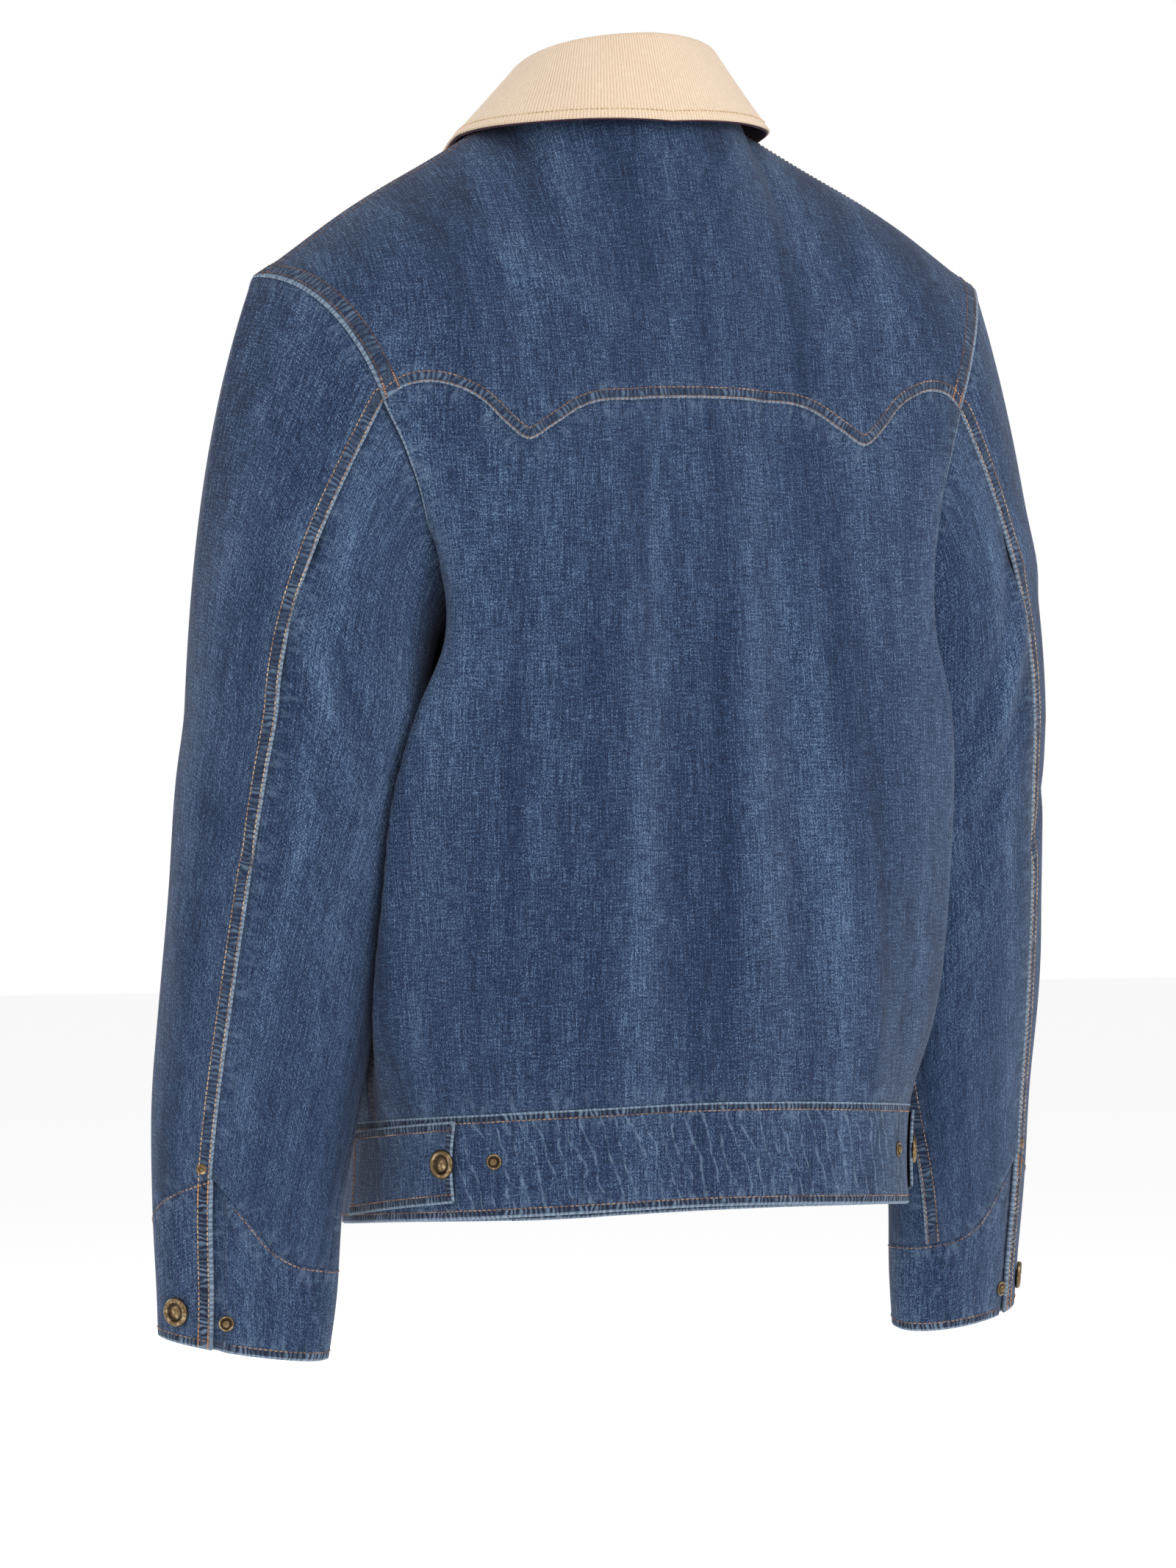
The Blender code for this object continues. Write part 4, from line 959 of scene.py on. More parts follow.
def front_half():
    """(turn, height) of the wearer's left front below the chest: columns from the side seam to the lap."""
    edge, lap = pi - FRONT_LAP, pi + FRONT_LAP
    outer = np.linspace(ARMHOLE_FRONT["turn"][-1], CHEST_NECK_TURN, SHOULDER_CELLS * FINE + 1)
    middle = np.linspace(CHEST_NECK_TURN, np.degrees(edge), CHEST_COLUMNS + 1)
    chest_turn = np.radians(np.concatenate([outer, middle[1:]]))
    spread = (edge - pi / 2) / (edge - chest_turn[0])
    lapped = np.linspace(edge, lap, 2 * LAP_HALF + 1)[1:]
    foot_turn = np.concatenate([edge - (edge - chest_turn) * spread, lapped])
    chest_turn = np.concatenate([chest_turn, lapped])
    top = np.stack([chest_turn, np.full(len(chest_turn), ARMHOLE_FRONT["height"][-1])], axis=1)
    foot = np.stack([foot_turn, band_top(foot_turn)], axis=1)
    near = side_edge(ARMHOLE_FRONT, foot[0, 1])
    far = np.stack([np.full(len(near), lap), np.linspace(foot[-1, 1], top[-1, 1], len(near))], axis=1)
    return coons(foot, top, near, far)


def front_grid(side):
    """Outer points and cloth map of one front, turning as the back does: side is 1 left, -1 right."""
    level = front_half()
    lower = body(side * level[..., 0], level[..., 1])
    top = np.concatenate([shoulder_line()[::-1], neck(neck_turns_front())[1:]]) * (side, 1, 1)
    upper = upward(lower[-1, ::-1], top[::-1], YOKE_ROWS, 1.5, 0.75, 2 * LAP_HALF)[:, ::-1]
    grid = tilted(np.concatenate([lower, upper[1:]]))
    cloth = plumb_map(grid, side * level[..., 0])
    return (grid, cloth) if side > 0 else (grid[:, ::-1], cloth[:, ::-1])


# On the cloth map, with the first place mirrored for the right front
FRONT_CREASES = (
    ((0.36, 0.04), (0.37, 0.34), 0.008, 0.012, 0.0022),
    ((0.42, 0.02), (0.41, 0.30), -0.006, 0.010, -0.0018),
    ((0.47, 0.06), (0.48, 0.40), 0.006, 0.012, 0.0018),
    ((0.33, 0.30), (0.42, 0.42), -0.010, 0.011, 0.0020),
    ((0.50, 0.44), (0.40, 0.54), 0.008, 0.012, -0.0016),
)
FRONT_CUT = (0.33, 0.62)
FRONT_AREA = 0.15
LAP_STITCHES = (1.8, 40.0)
fronts_out, armhole = {}, {}
for side, name in ((1, "left"), (-1, "right")):
    grid, cloth = front_grid(side)
    out = facing_out(grid)
    back_edge, front_edge, lap_edge = (-1, 0, -1) if side > 0 else (0, -1, 0)
    seam = slice(0, SIDE_ROWS + 1)
    share_edge(back_out, (seam, back_edge), out, (seam, front_edge))
    armhole[side] = np.concatenate([armhole_back[side], grid[-2:SIDE_ROWS:-1, front_edge]])
    armhole_front = grid[SIDE_ROWS:, front_edge]
    fronts_out[side] = out
    if side < 0:
        share = 1 - smooth(np.arange(grid.shape[1]), 3 * FINE, 4 * FINE)
        grid = grid - out * share[None, :, None] * (WALL + LAY_GAP)
    lap_line = grid[:, lap_edge]
    values, raised = seam_values(
        grid, [(armhole_front, ARMHOLE_ROW), (lap_line, YOKE_ROW)], [side_seam[side], grid[-1], grid[0]]
    )
    fold = creases(cloth * (side, 1), FRONT_CREASES)
    # Fold heights, for the painted shade in the troughs and the painted highlight on the ridges
    values["fold"] = np.clip(fold / FOLD_SHADE_HEIGHT, -1, 1)
    obj, surface = shell(
        f"front_{name}_cloth", drawn_in(grid, "last_row"), out, WALL, cloth, fold, raised, values=values
    )
    side_column = "first column" if side > 0 else "last column"
    lap_column = "last column" if side > 0 else "first column"
    above = slice(SIDE_ROWS, None)
    rows = [contour(surface[above], out[above], armhole_front, row, side_column) for row in ARMHOLE_STITCHES]
    threads = [stitched(f"front_{name}_armhole_stitches", rows, brown_thread)]
    rows = [contour(surface, out, lap_line, row, lap_column) for row in LAP_STITCHES]
    threads.append(stitched(f"front_{name}_edge_stitches", rows, rust_thread))
    piece(obj, yoke_denim, f"front_{name}", FRONT_CUT, FRONT_AREA, threads)


# ---------------------------------------------------------------------------------------------
# Sleeves: each a wide upper piece lapped over a narrow under piece, set into the armhole and sewn
# with two rows; the back seam opens at its foot into the cuff's vent.

CAP_ROWS = 7 * FINE
TUBE_ROWS = 11 * FINE
CUFF_ROWS = 3 * FINE

FOLDED_GAP = 0.0022
CAP_FOOT = -0.372
CAP_LEAVE_TOP = 0.36
CAP_LEAVE_FOOT = 0.9
CUFF_FOOT = -0.743
CUFF_TILT = (0.10, -0.12)
SLEEVE_FOLDS = table(
    "around width height reach swell",
    (100, 16, -0.430, 0.050, 0.035),
    (130, 16, -0.480, 0.035, -0.040),
    (40, 15, -0.520, 0.060, 0.030),
    (-60, 18, -0.470, 0.040, -0.045),
    (-20, 16, -0.560, 0.045, 0.030),
    (120, 18, -0.590, 0.040, 0.035),
)
SLEEVE_FOLD_LEAN = 260.0
SLEEVE_MARKS_CAP = (205, 80, 20, -70, -155)
SLEEVE_MARKS_CUFF = (155, 70, 5, -100, -205)
CUFF_SEAM = table(
    "turn height",
    (70, -0.6424),
    (94, -0.668),
    (106, -0.682),
    (122, -0.6915),
    (147, -0.696),
    (190, -0.6975),
    (250, -0.6965),
    (310, -0.688),
    (360, -0.668),
    (400, -0.652),
    (430, -0.6424),
)


def sleeve_turns():
    """Places round the tube (radians) for each armhole point, at the cap's foot and at the cuff."""
    counts = (ARMHOLE_ROWS, YOKE_ROWS, YOKE_ROWS, ARMHOLE_ROWS)
    marks = np.concatenate([[0], np.cumsum(counts)])
    at = np.arange(marks[-1])
    return [np.radians(np.interp(at, marks, m)) for m in (SLEEVE_MARKS_CAP, SLEEVE_MARKS_CUFF)]


def tube(turn, z, side):
    """The sleeve's form below the cap: a turned ellipse at each height."""
    along = read(SLEEVE, "long_half", z) * np.cos(turn)
    across = read(SLEEVE, "short_half", z) * np.sin(turn)
    x = along * np.cos(SLEEVE_TURN) - across * np.sin(SLEEVE_TURN)
    y = along * np.sin(SLEEVE_TURN) + across * np.cos(SLEEVE_TURN)
    for around, width, height, reach, out in zip(*SLEEVE_FOLDS.values()):
        away = (np.degrees(turn) - around + (z - height) * SLEEVE_FOLD_LEAN + 180) % 360 - 180
        swell = 1 + out * np.exp(-((away / width) ** 2) - ((z - height) / reach) ** 2)
        x, y = x * swell, y * swell
    return stacked(side * (x + read(SLEEVE, "out_x", z)), y + read(SLEEVE, "middle_y", z), z)


def cuff_seam(turn):
    return read(CUFF_SEAM, "height", (np.degrees(turn) - 70) % 360 + 70, by="turn")


def cuff_foot(turn):
    """The cuff's lower edge lies square to the forearm, lower at the back than in front."""
    middle = np.array((read(SLEEVE, "out_x", CUFF_FOOT), read(SLEEVE, "middle_y", CUFF_FOOT)))
    edge = tube(turn, np.full(np.shape(turn), CUFF_FOOT), 1)[..., :2] - middle
    return CUFF_FOOT + edge @ np.array(CUFF_TILT)


def arm_grid(side, ring, ring_in):
    """Outer points of a sleeve and its cuff: the cap from the armhole to the tube, then down the tube."""
    at_cap, at_cuff = sleeve_turns()
    foot = tube(at_cap, np.full(len(at_cap), CAP_FOOT), side)
    reach = np.linalg.norm(foot - ring, axis=1, keepdims=True)
    high = smooth(ring[:, 2:], -0.32, -0.12)
    outward = CAP_LEAVE_FOOT + (CAP_LEAVE_TOP - CAP_LEAVE_FOOT) * high[:, 0]
    leave = unit(stacked(outward * side, 0, -1.0))
    arrive = np.array((0.03 * side, -0.03, -1.0))
    t = np.linspace(0, 1, CAP_ROWS + 1)[:, None, None]
    cap = (
        ring * (1 + 2 * t) * (1 - t) ** 2
        + foot * t**2 * (3 - 2 * t)
        + reach * leave * t * (1 - t) ** 2
        - reach * arrive * t**2 * (1 - t)
    )
    share = np.linspace(0, 1, TUBE_ROWS + 1)[1:, None]
    turn = at_cap + (at_cuff - at_cap) * share
    sleeve = tube(turn, CAP_FOOT + (cuff_seam(turn) - CAP_FOOT) * share, side)
    share = np.linspace(0, 1, CUFF_ROWS + 1)[1:, None]
    turn = np.broadcast_to(at_cuff, (CUFF_ROWS, len(at_cuff)))
    cuff = tube(turn, cuff_seam(turn) + (cuff_foot(turn) - cuff_seam(turn)) * share, side)
    grid = np.concatenate([cap, sleeve, cuff])
    grid_in = facing_out(grid, True, -side)
    folded = 1 - smooth((grid_in[0] * ring_in).sum(-1, keepdims=True), -0.1, 0.35)
    grid[0] += ring_in * folded * FOLDED_GAP
    return grid, grid_in


# Wrinkles on the sleeve's map (the way round from the back seam and down from the armhole, metres)
SLEEVE_CREASES = (
    ((0.02, -0.20), (0.10, -0.24), 0.004, 0.008, -0.0022),
    ((0.03, -0.26), (0.10, -0.31), 0.003, 0.008, 0.0020),
    ((-0.13, -0.10), (-0.07, -0.19), 0.005, 0.010, 0.0020),
    ((-0.14, -0.27), (-0.08, -0.30), -0.004, 0.009, -0.0022),
    ((0.06, -0.12), (0.13, -0.17), 0.004, 0.010, 0.0022),
    ((-0.02, -0.42), (0.05, -0.46), 0.004, 0.010, 0.0016),
)
UNDER_CREASES = (
    ((0.070, -0.080), (0.015, -0.150), 0.004, 0.008, -0.0030),
    ((0.072, -0.115), (0.015, -0.185), 0.004, 0.009, 0.0028),
    ((0.066, -0.150), (0.010, -0.215), 0.004, 0.009, -0.0026),
    ((-0.050, -0.060), (0.000, -0.120), 0.004, 0.008, 0.0022),
)
SLEEVE_ROW = 8.0
SLEEVE_STITCHES = (2.0, SLEEVE_ROW)
SLEEVE_CUTS = {"upper": ((0.31, 0.60), 0.134), "under": ((0.16, 0.46), 0.05)}
sleeve_denim = denim("sleeve_denim", rubbing=0.9)
arms, arms_out = {}, {}
for side, name in ((1, "left"), (-1, "right")):
    back_edge, front_edge = (-1, 0) if side > 0 else (0, -1)
    ring = armhole[side]
    ring_out = [back_out[SIDE_ROWS:, back_edge], fronts_out[side][-2:SIDE_ROWS:-1, front_edge]]
    ring_out = np.concatenate(ring_out)
    grid, out = arm_grid(side, ring, ring_out)
    arms[side], arms_out[side] = grid, out
    sleeve = slice(0, CAP_ROWS + TUBE_ROWS + 1)
    around = grid.shape[1]
    back_seam, under_seam = grid[sleeve, ARMHOLE_ROWS], grid[sleeve, 0]
    cuff_line = grid[CAP_ROWS + TUBE_ROWS]
    for label, columns in (("under", np.r_[0 : ARMHOLE_ROWS + 1]), ("upper", np.r_[ARMHOLE_ROWS:around, 0])):
        part, part_out = grid[sleeve][:, columns], out[sleeve][:, columns]
        own = [(back_seam, SLEEVE_ROW)] if label == "upper" else [(under_seam, SLEEVE_ROW)]
        own = [] if (side, label) == (1, "under") else own
        other = under_seam if label == "upper" else back_seam
        values, raised = seam_values(part, own, [other, cuff_line, grid[0]])
        cloth = cloth_map(part) * (1, -1)
        fold = creases(cloth, SLEEVE_CREASES if label == "upper" else UNDER_CREASES)
        # Fold heights, for the painted shade in the troughs and the painted highlight on the ridges
        values["fold"] = np.clip(fold / FOLD_SHADE_HEIGHT, -1, 1)
        edges = "first_row last_row first_column last_column"
        obj, surface = shell(
            f"sleeve_{name}_{label}_cloth", drawn_in(part, edges, SEAM_GAP), part_out, WALL, cloth, fold,
            raised, values=values,
        )
        thread = tan_thread if label == "upper" else rust_thread
        rows = [
            contour(surface, part_out, line, row, "first column")
            for line, _ in own for row in SLEEVE_STITCHES
        ]
        threads = [stitched(f"sleeve_{name}_{label}_stitches", rows, thread)] if rows else []
        piece(obj, sleeve_denim, f"sleeve_{name}_{label}", *SLEEVE_CUTS[label], threads)


# ---------------------------------------------------------------------------------------------
# Cuffs: double denim, higher and pointed at the back seam, where the outer end laps over the
# under end and closes with a snap; sewn round the top with one row and round the foot with one.

BAND_WALL = 0.0028
CUFF_LAP_COLUMNS = 2 * FINE
CUFF_ROW = 4.5
CUFF_TOP_ROW = 1.6
CUFF_CUT = (0.32, 0.095)
CUFF_AREA = 0.0195
cuff_denim = denim("cuff_denim", rubbing=1.2, scuffs=0.3, roping=1.5)
for side, name in ((1, "left"), (-1, "right")):
    grid, out = arms[side], arms_out[side]
    first = CAP_ROWS + TUBE_ROWS
    columns = np.r_[ARMHOLE_ROWS : grid.shape[1], 0 : ARMHOLE_ROWS + CUFF_LAP_COLUMNS + 1]
    part, part_out = grid[first:][:, columns], out[first:][:, columns]
    lap_from = len(columns) - CUFF_LAP_COLUMNS
    lapped = smooth(np.arange(len(columns)), lap_from - FINE, lap_from - 2)
    outer_end = slice(0, lap_from - FINE)
    values, _ = seam_values(part, [(part[:, 0], SLEEVE_ROW), (part[-1], CUFF_ROW)], [part[0]])
    values["lap"] = np.where(lapped > 0.5, nearest(part, part[-1]) / CUFF_ROW, values["lap"])
    values["fold"] = 0.0
    part = drawn_in(part, "first_row") - part_out * lapped[None, :, None] * (BAND_WALL + LAY_GAP)
    obj, surface = shell(
        f"cuff_{name}_cloth", part, part_out, BAND_WALL, cloth_map(part) * (1, -1), 0.0, 0.0, values=values
    )
    rows = [
        contour(surface[:, outer_end], part_out[:, outer_end], part[:, 0], row, "first column")
        for row in SLEEVE_STITCHES
    ]
    threads = [stitched(f"cuff_{name}_vent_stitches", rows, tan_thread)]
    tacks = [tuple(part[end] for part in row) for row in rows for end in (slice(0, 3), slice(-3, None))]
    threads.append(stitched(f"cuff_{name}_tacks", tacks, orange_thread, **BARTACK))
    rows = [
        contour(surface[:, outer_end], part_out[:, outer_end], line[outer_end], row, edge)
        for line, row, edge in ((part[0], CUFF_TOP_ROW, "first row"), (part[-1], CUFF_ROW, "last row"))
    ]
    threads.append(stitched(f"cuff_{name}_stitches", rows, rust_thread))
    piece(obj, cuff_denim, f"cuff_{name}", CUFF_CUT, CUFF_AREA, threads)


# ---------------------------------------------------------------------------------------------
# Waistband: one straight strip of double denim round the hips, sewn on over the panels' foot; its
# ends lap at the centre front. Washing has scuffed it on the slant all over.

BAND_ROWS = 24
BAND_ROW = 4.2
BAND_RAISE = 0.0004
BAND_CUT = (1.06, 0.059)
band_denim = denim("band_denim", rubbing=1.2, scuffs=0.9, roping=1.5)
front_turns, back_turns = front_half()[0, :, 0], back_half()[0, :, 0]
band_turns = np.concatenate([-front_turns[::-1], -back_turns[-2:0:-1], back_turns, front_turns[1:]])
share = np.linspace(0, 1, BAND_ROWS + 1)[:, None]
band = body(band_turns, hem_height(band_turns) + (BAND_HEIGHT - SEAM_GAP) * share)
band_out = facing_out(band)
under_lap = 1 - smooth(np.arange(len(band_turns)), 3 * FINE, 4 * FINE)
values, _ = seam_values(band, [(band[0], BAND_ROW), (band[-1], BAND_ROW), (band[:, -1], BAND_ROW)], [])
values["fold"] = 0.0
shown = band - band_out * under_lap[None, :, None] * (BAND_WALL + LAY_GAP)
obj, surface = shell(
    "waistband_cloth", shown, band_out, BAND_WALL, cloth_map(band), 0.0, BAND_RAISE, values=values
)
rows = [
    contour(surface, band_out, shown[row], BAND_ROW, edge)
    for row, edge in ((0, "first row"), (-1, "last row"))
]
band_stitches = stitched("waistband_stitches", rows, rust_thread)
piece(obj, band_denim, "waistband", BAND_CUT, None, [band_stitches])


# ---------------------------------------------------------------------------------------------
# Adjuster tabs: two strips of double denim sewn down at the side seams, their free ends slightly
# hollowed and closed on the band with a snap.

TAB_SEWN_TURN = 100.0
TAB_END_TURN = 60.5
TAB_FOOT = (0.07, 0.16)
TAB_TOP = (0.91, 0.95)

TAB_ROWS = 20
TAB_COLUMNS = 44
TAB_ROW = 4.6
TAB_CUT = (0.125, 0.046)


def along_band(turns, shares):
    """Points and ways out on the waistband at given turns (degrees) and shares of its height."""
    turns, shares = np.broadcast_arrays(turns, shares)
    points = body(np.radians(turns), hem_height(np.radians(turns)) + (BAND_HEIGHT - SEAM_GAP) * shares)
    return points, facing_out(points)


for side, name in ((1, "left"), (-1, "right")):
    share = np.linspace(0, 1, TAB_COLUMNS + 1)[None, :]
    up = np.linspace(0, 1, TAB_ROWS + 1)[:, None]
    foot = TAB_FOOT[1] + (TAB_FOOT[0] - TAB_FOOT[1]) * share
    top = TAB_TOP[1] + (TAB_TOP[0] - TAB_TOP[1]) * share
    hollow = 0.9 * np.sin(pi * up) * (1 - share) ** 6
    turns = TAB_END_TURN + (TAB_SEWN_TURN - TAB_END_TURN) * share + hollow
    points, ways = along_band(side * turns, foot + (top - foot) * up)
    ways = ways * side
    raised = 0.0016 * (1 - share[0]) ** 8 * np.ones((TAB_ROWS + 1, 1))
    grid = points + ways * (LAY_GAP + WALL)
    edges = (grid[0], grid[-1], grid[:, 0])
    values, _ = seam_values(grid, [(edge, TAB_ROW) for edge in edges], [])
    values["fold"] = 0.0
    obj, surface = shell(f"tab_{name}_cloth", grid, ways, WALL, cloth_map(grid), raised, 0.0, values=values)
    rows = [
        contour(surface, ways, line, TAB_ROW, edge)
        for line, edge in zip(edges, ("first row", "last row"))
    ]
    threads = [stitched(f"tab_{name}_stitches", rows, rust_thread)]
    sewn = slice(2, TAB_ROWS - 1)
    threads.append(stitched(f"tab_{name}_bartack", [(surface[sewn, -3], ways[sewn, -3])], orange_thread))
    piece(obj, cuff_denim, f"tab_{name}", TAB_CUT, None, threads)


# ---------------------------------------------------------------------------------------------
# Collar: a top collar of sand needlecord over a dark under collar, joined along the outer edge,
# sewn to the neck, standing up at the back and turned down over it. Its wales run up and over.

UNDER_WALL = 0.0012
CORD_WALL = 0.0016
COLLAR_END_TURN = radians(174)
COLLAR_HALF = 90
COLLAR_ROW = 5.5
COLLAR_CUT = (0.50, 0.10)
COLLAR_AREA = 0.042

COLLAR = table(
    "turn fold_in fold_up edge_out edge_up swing",
    (0, 0.007, 0.031, 0.019, -0.023, 0.000),
    (50, 0.011, 0.030, 0.021, -0.018, 0.000),
    (90, 0.014, 0.028, 0.023, -0.013, 0.002),
    (125, 0.014, 0.026, 0.024, -0.016, 0.010),
    (155, 0.010, 0.022, 0.024, -0.030, 0.026),
    (174, 0.006, 0.018, 0.022, -0.040, 0.034),
)
COLLAR_FOLD_RADIUS = 0.0030

COLLAR_STAND_ROWS = 10
COLLAR_FOLD_ROWS = 10
COLLAR_FALL_ROWS = 16


def collar_grid():
    """The surface between the two collars: up the stand, round the fold and down the fall."""
    turn = np.linspace(-COLLAR_END_TURN, COLLAR_END_TURN, 2 * COLLAR_HALF + 1)
    size = np.abs(np.degrees(turn))
    fold_in, fold_up, edge_out, edge_up, swing = (
        read(COLLAR, name, size, by="turn") for name in ("fold_in", "fold_up", "edge_out", "edge_up", "swing")
    )
    seam = neck(turn)
    out = unit(stacked(np.sin(turn) / NECK_SIDE, np.cos(turn) / NECK_BACK, 0 * turn))
    over = np.radians(np.linspace(180, 35, COLLAR_FOLD_ROWS + 1))[:, None]
    fold_out = -fold_in + COLLAR_FOLD_RADIUS * np.cos(over)
    fold_z = fold_up - COLLAR_FOLD_RADIUS + COLLAR_FOLD_RADIUS * np.sin(over)
    up = np.linspace(0, 1, COLLAR_STAND_ROWS + 1)[:-1, None]
    down = np.linspace(0, 1, COLLAR_FALL_ROWS + 1)[1:, None]
    stand_out = -UNDER_WALL + (fold_out[0] + UNDER_WALL) * up
    fall_out = fold_out[-1] + (edge_out - fold_out[-1]) * down
    stand_up = SEAM_GAP + (fold_z[0] - SEAM_GAP) * up
    fall_up = fold_z[-1] + (edge_up - fold_z[-1]) * down
    across = np.concatenate([stand_out, fold_out, fall_out])
    grid = seam + out * across[..., None]
    grid[..., 2] += np.concatenate([stand_up, fold_z, fall_up])
    grid[-COLLAR_FALL_ROWS:, :, 0] += np.sign(turn) * swing * down
    return tilted(grid)


SAND = (0.80, 0.62, 0.455, 1)
# Darker sand: painted shade in the grooves between the wales, and the dark clouds
SAND_SHADE_AND_CLOUD = (0.60, 0.44, 0.29, 1)
SAND_LIGHT = (0.87, 0.73, 0.575, 1)
WALE = 0.0016


def needlecord():
    """Fine corduroy: rounded ribs are a sine across the cloth map, wavering a little, with soft nap."""
    material, tree = new_finish("needlecord")
    place = node(tree, "ShaderNodeUVMap", uv_map="cloth").outputs["UV"]
    waver = noise(tree, place, (60, 60, 1), 1)
    nap = noise(tree, place, (700, 260, 1), 3, 0.65)
    parts = node(tree, "ShaderNodeSeparateXYZ", {"Vector": place}).outputs
    phase = times(tree, parts["X"], 2 * pi / WALE)
    phase = maths(tree, "ADD", phase, times(tree, waver, 1.6))
    rib = maths(tree, "ABSOLUTE", maths(tree, "SINE", times(tree, phase, 0.5)))
    clouds = noise(tree, place, (35, 22, 1), 2)
    # Painted shade: where the ribs are low, in the grooves between the wales, the colour is darkened
    color = mixed(tree, ramp(tree, rib, 0.05, 0.55), SAND_SHADE_AND_CLOUD, SAND)
    color = mixed(tree, times(tree, ramp(tree, nap, 0.45, 0.8), 0.6), color, SAND_LIGHT)
    color = mixed(tree, ramp(tree, clouds, 0.3, 0.8, 0.0, 0.14), color, SAND_SHADE_AND_CLOUD)
    height = maths(tree, "ADD", rib, times(tree, nap, 0.35))
    plain = (("Specular IOR Level", 0.2), ("Sheen Weight", 0.35), ("Sheen Roughness", 0.5))
    finish(tree, color, ramp(tree, nap, 0.2, 0.8, 0.95, 0.82), (height, 0.7, 0.0005), plain)
    return material


def woven(name, dark, light):
    """A plain close weave: two crossed waves and a little slub."""
    material, tree = new_finish(name)
    place = node(tree, "ShaderNodeUVMap", uv_map="cloth").outputs["UV"]
    warp, weft = noise(tree, place, (1500, 160, 1), 2), noise(tree, place, (160, 1500, 1), 2)
    weave = maths(tree, "ADD", times(tree, warp, 0.5), times(tree, weft, 0.5))
    color = mixed(tree, ramp(tree, weave, 0.35, 0.65), dark, light)
    finish(tree, color, ramp(tree, weave, 0.3, 0.7, 0.9, 0.78), (weave, 0.5, 0.0004))
    return material


collar = collar_grid()
collar_out = facing_out(collar, False, -1)
collar_cloth = cloth_map(collar)
obj, _ = shell("collar_under_cloth", collar, collar_out, UNDER_WALL, collar_cloth)
maroon = woven("under_collar", (0.030, 0.010, 0.020, 1), (0.075, 0.028, 0.045, 1))
piece(obj, maroon, "collar_under", COLLAR_CUT, COLLAR_AREA, slot="under_collar", held="folded")
top_collar = collar + collar_out * (LAY_GAP + CORD_WALL)
obj, surface = shell("collar_top_cloth", top_collar, collar_out, CORD_WALL, collar_cloth)
fall = slice(COLLAR_STAND_ROWS + COLLAR_FOLD_ROWS, None)
rows = [contour(surface[fall], collar_out[fall], surface[-1], COLLAR_ROW, "last row")]
sand_thread = spun_thread("sand_thread", (0.50, 0.34, 0.17, 1), (0.66, 0.49, 0.28, 1))
threads = [stitched("collar_stitches", rows, sand_thread)]
piece(obj, needlecord(), "collar_top", COLLAR_CUT, COLLAR_AREA, threads, slot="needlecord", held="folded")


# ---------------------------------------------------------------------------------------------
# Snaps, spare studs and rivets: antiqued brass, pressed through the cloth. A cap has a rolled rim
# round a dark well with a low dome, a stud is a small socket, and a rivet a low dome.

PATINA = (0.030, 0.022, 0.016, 1)
OLD_BRASS = (0.170, 0.115, 0.058, 1)
RUBBED_BRASS = (0.520, 0.400, 0.240, 1)


def antique_brass():
    """Brass gone dark in the hollows (the `deep` attribute) and rubbed bright in spots."""
    material, tree = new_finish("antique_brass")
    place = node(tree, "ShaderNodeTexCoord").outputs["Object"]
    spots = noise(tree, place, (420, 420, 420), 3, 0.6)
    grain = noise(tree, place, (2600, 2600, 2600), 2)
    deep = attribute(tree, "deep")
    color = mixed(tree, ramp(tree, spots, 0.46, 0.72), OLD_BRASS, RUBBED_BRASS)
    color = mixed(tree, ramp(tree, deep, 0.1, 0.9, 0.05, 0.92), color, PATINA)
    roughness = ramp(tree, spots, 0.35, 0.7, 0.45, 0.28)
    finish(tree, color, roughness, (grain, 0.25, 0.0002), [("Metallic", 1.0)])
    return material


brass = antique_brass()
METAL_SIDES = 40
# radius, height and how deep in the patina, in millimetres
CAP_PROFILE = (
    (0, 0, 1), (7.9, 0, 1), (8.4, 0.3, 0.8), (8.5, 1.2, 0.2), (8.2, 2.1, 0), (7.5, 2.7, 0), (6.7, 2.9, 0),
    (6.0, 2.7, 0), (5.5, 2.2, 0.3), (5.2, 1.6, 1), (4.9, 1.3, 1), (4.2, 1.25, 0.9), (3.6, 1.4, 0.5),
    (2.8, 1.75, 0.2), (1.6, 2.05, 0), (0, 2.15, 0),
)
STUD_PROFILE = (
    (0, 0, 1), (4.4, 0, 1), (4.6, 0.3, 0.5), (4.6, 0.8, 0), (4.2, 1.2, 0), (3.6, 1.15, 0), (3.2, 0.7, 1),
    (2.5, 0.6, 1), (2.2, 0.9, 0.7), (2.1, 1.8, 0), (1.7, 2.3, 0), (0.8, 2.5, 0), (0, 2.55, 0),
)
RIVET_PROFILE = (
    (0, 0, 1), (3.2, 0, 1), (3.4, 0.3, 0.5), (3.1, 0.8, 0.1), (2.2, 1.3, 0), (1.5, 1.35, 0.4),
    (1.1, 1.2, 0.9), (0.6, 1.5, 0), (0, 1.6, 0),
)


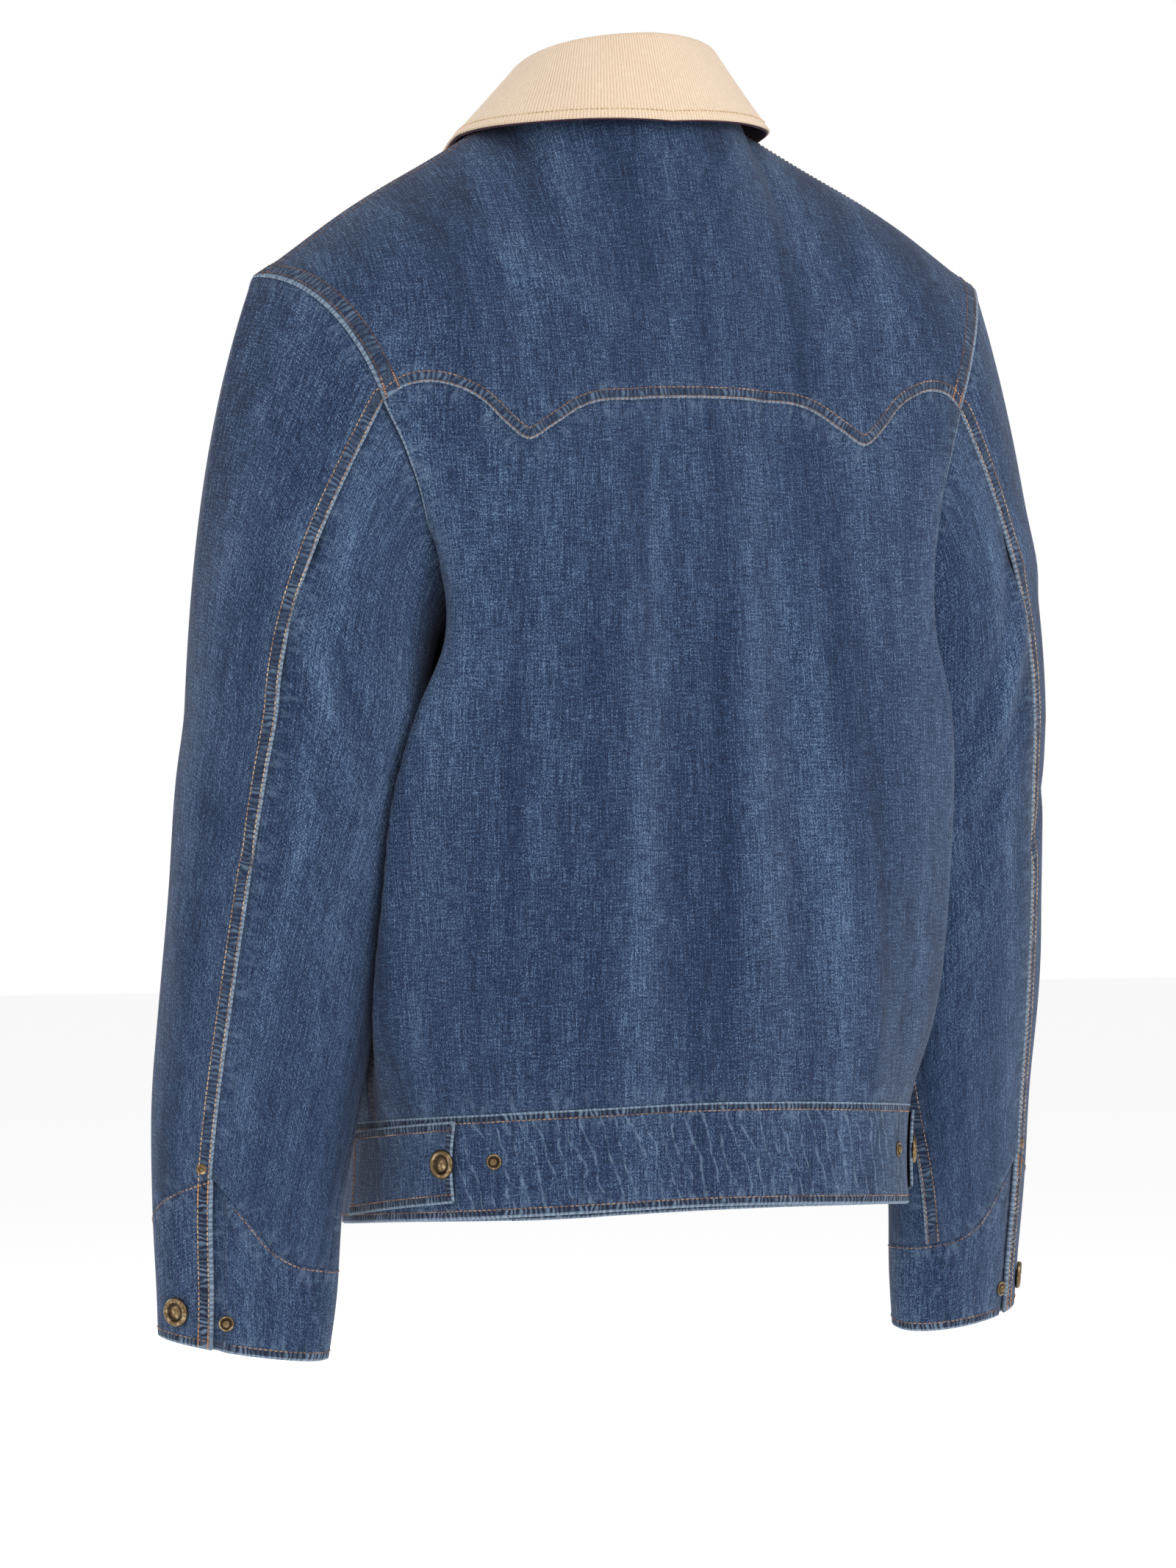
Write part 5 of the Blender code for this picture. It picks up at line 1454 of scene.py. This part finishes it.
def turned(name, profile, point, way, stands_for):
    """A profile of (radius, height, patina) carried round the axis `way` at a point, closed at both poles."""
    radius, height, deep = np.array(profile).T * np.array((0.001, 0.001, 1.0))[:, None]
    angle = np.linspace(0, 2 * pi, METAL_SIDES, endpoint=False)
    side = unit(np.cross(way, (0.0, 0.0, 1.0)))
    up = np.cross(side, way)
    ring = np.cos(angle)[:, None] * side + np.sin(angle)[:, None] * up
    points = point + radius[1:-1, None, None] * ring + height[1:-1, None, None] * way
    points = np.concatenate([points.reshape(-1, 3), [point + height[0] * way, point + height[-1] * way]])
    k = np.arange(METAL_SIDES)
    n = (k + 1) % METAL_SIDES
    rings = len(profile) - 2
    start = np.arange(rings - 1)[:, None] * METAL_SIDES
    quads = [start + k, start + n, start + n + METAL_SIDES, start + k + METAL_SIDES]
    quads = np.stack(quads, -1).reshape(-1, 4).tolist()
    foot, tip = rings * METAL_SIDES, rings * METAL_SIDES + 1
    last = (rings - 1) * METAL_SIDES
    caps = [(foot, b, a) for a, b in zip(k, n)] + [(last + a, last + b, tip) for a, b in zip(k, n)]
    faces = quads + caps
    mesh = bpy.data.meshes.new(name)
    mesh.from_pydata(points, [], faces)
    mesh.polygons.foreach_set("use_smooth", np.ones(len(faces), bool))
    patina = np.concatenate([np.repeat(deep[1:-1], METAL_SIDES), [deep[0], deep[-1]]])
    mesh.attributes.new("deep", "FLOAT", "POINT").data.foreach_set("value", patina.astype(np.float32))
    mesh.materials.append(brass)
    obj = placed(name, mesh)
    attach(obj, "root")
    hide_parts(stands_for)
    return obj


PRESSED_IN = 0.0002


def seat_of(stands_for):
    """A fastener's foot and its way out: its axis is the way in which its solid spreads least."""
    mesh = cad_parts[stands_for].data
    points = np.empty(len(mesh.vertices) * 3)
    mesh.vertices.foreach_get("co", points)
    points = points.reshape(-1, 3)
    middle = points.mean(0)
    way = np.linalg.svd(points - middle, full_matrices=False)[2][-1]
    on_arm = "cuff" in stands_for or "rivet" in stands_for
    heart = (np.copysign(0.236, middle[0]), -0.003) if on_arm else (0.0, 0.018)
    way = way * np.sign((way[:2] * (middle[:2] - heart)).sum())
    return middle + way * ((points - middle) @ way).min(), way


for stands_for in sorted(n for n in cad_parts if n.split("_")[0] in ("snap", "stud", "rivet")):
    foot, way = seat_of(stands_for)
    profile = {"snap": CAP_PROFILE, "stud": STUD_PROFILE, "rivet": RIVET_PROFILE}[stands_for.split("_")[0]]
    turned(f"{stands_for}_brass", profile, foot - way * PRESSED_IN, way, stands_for)
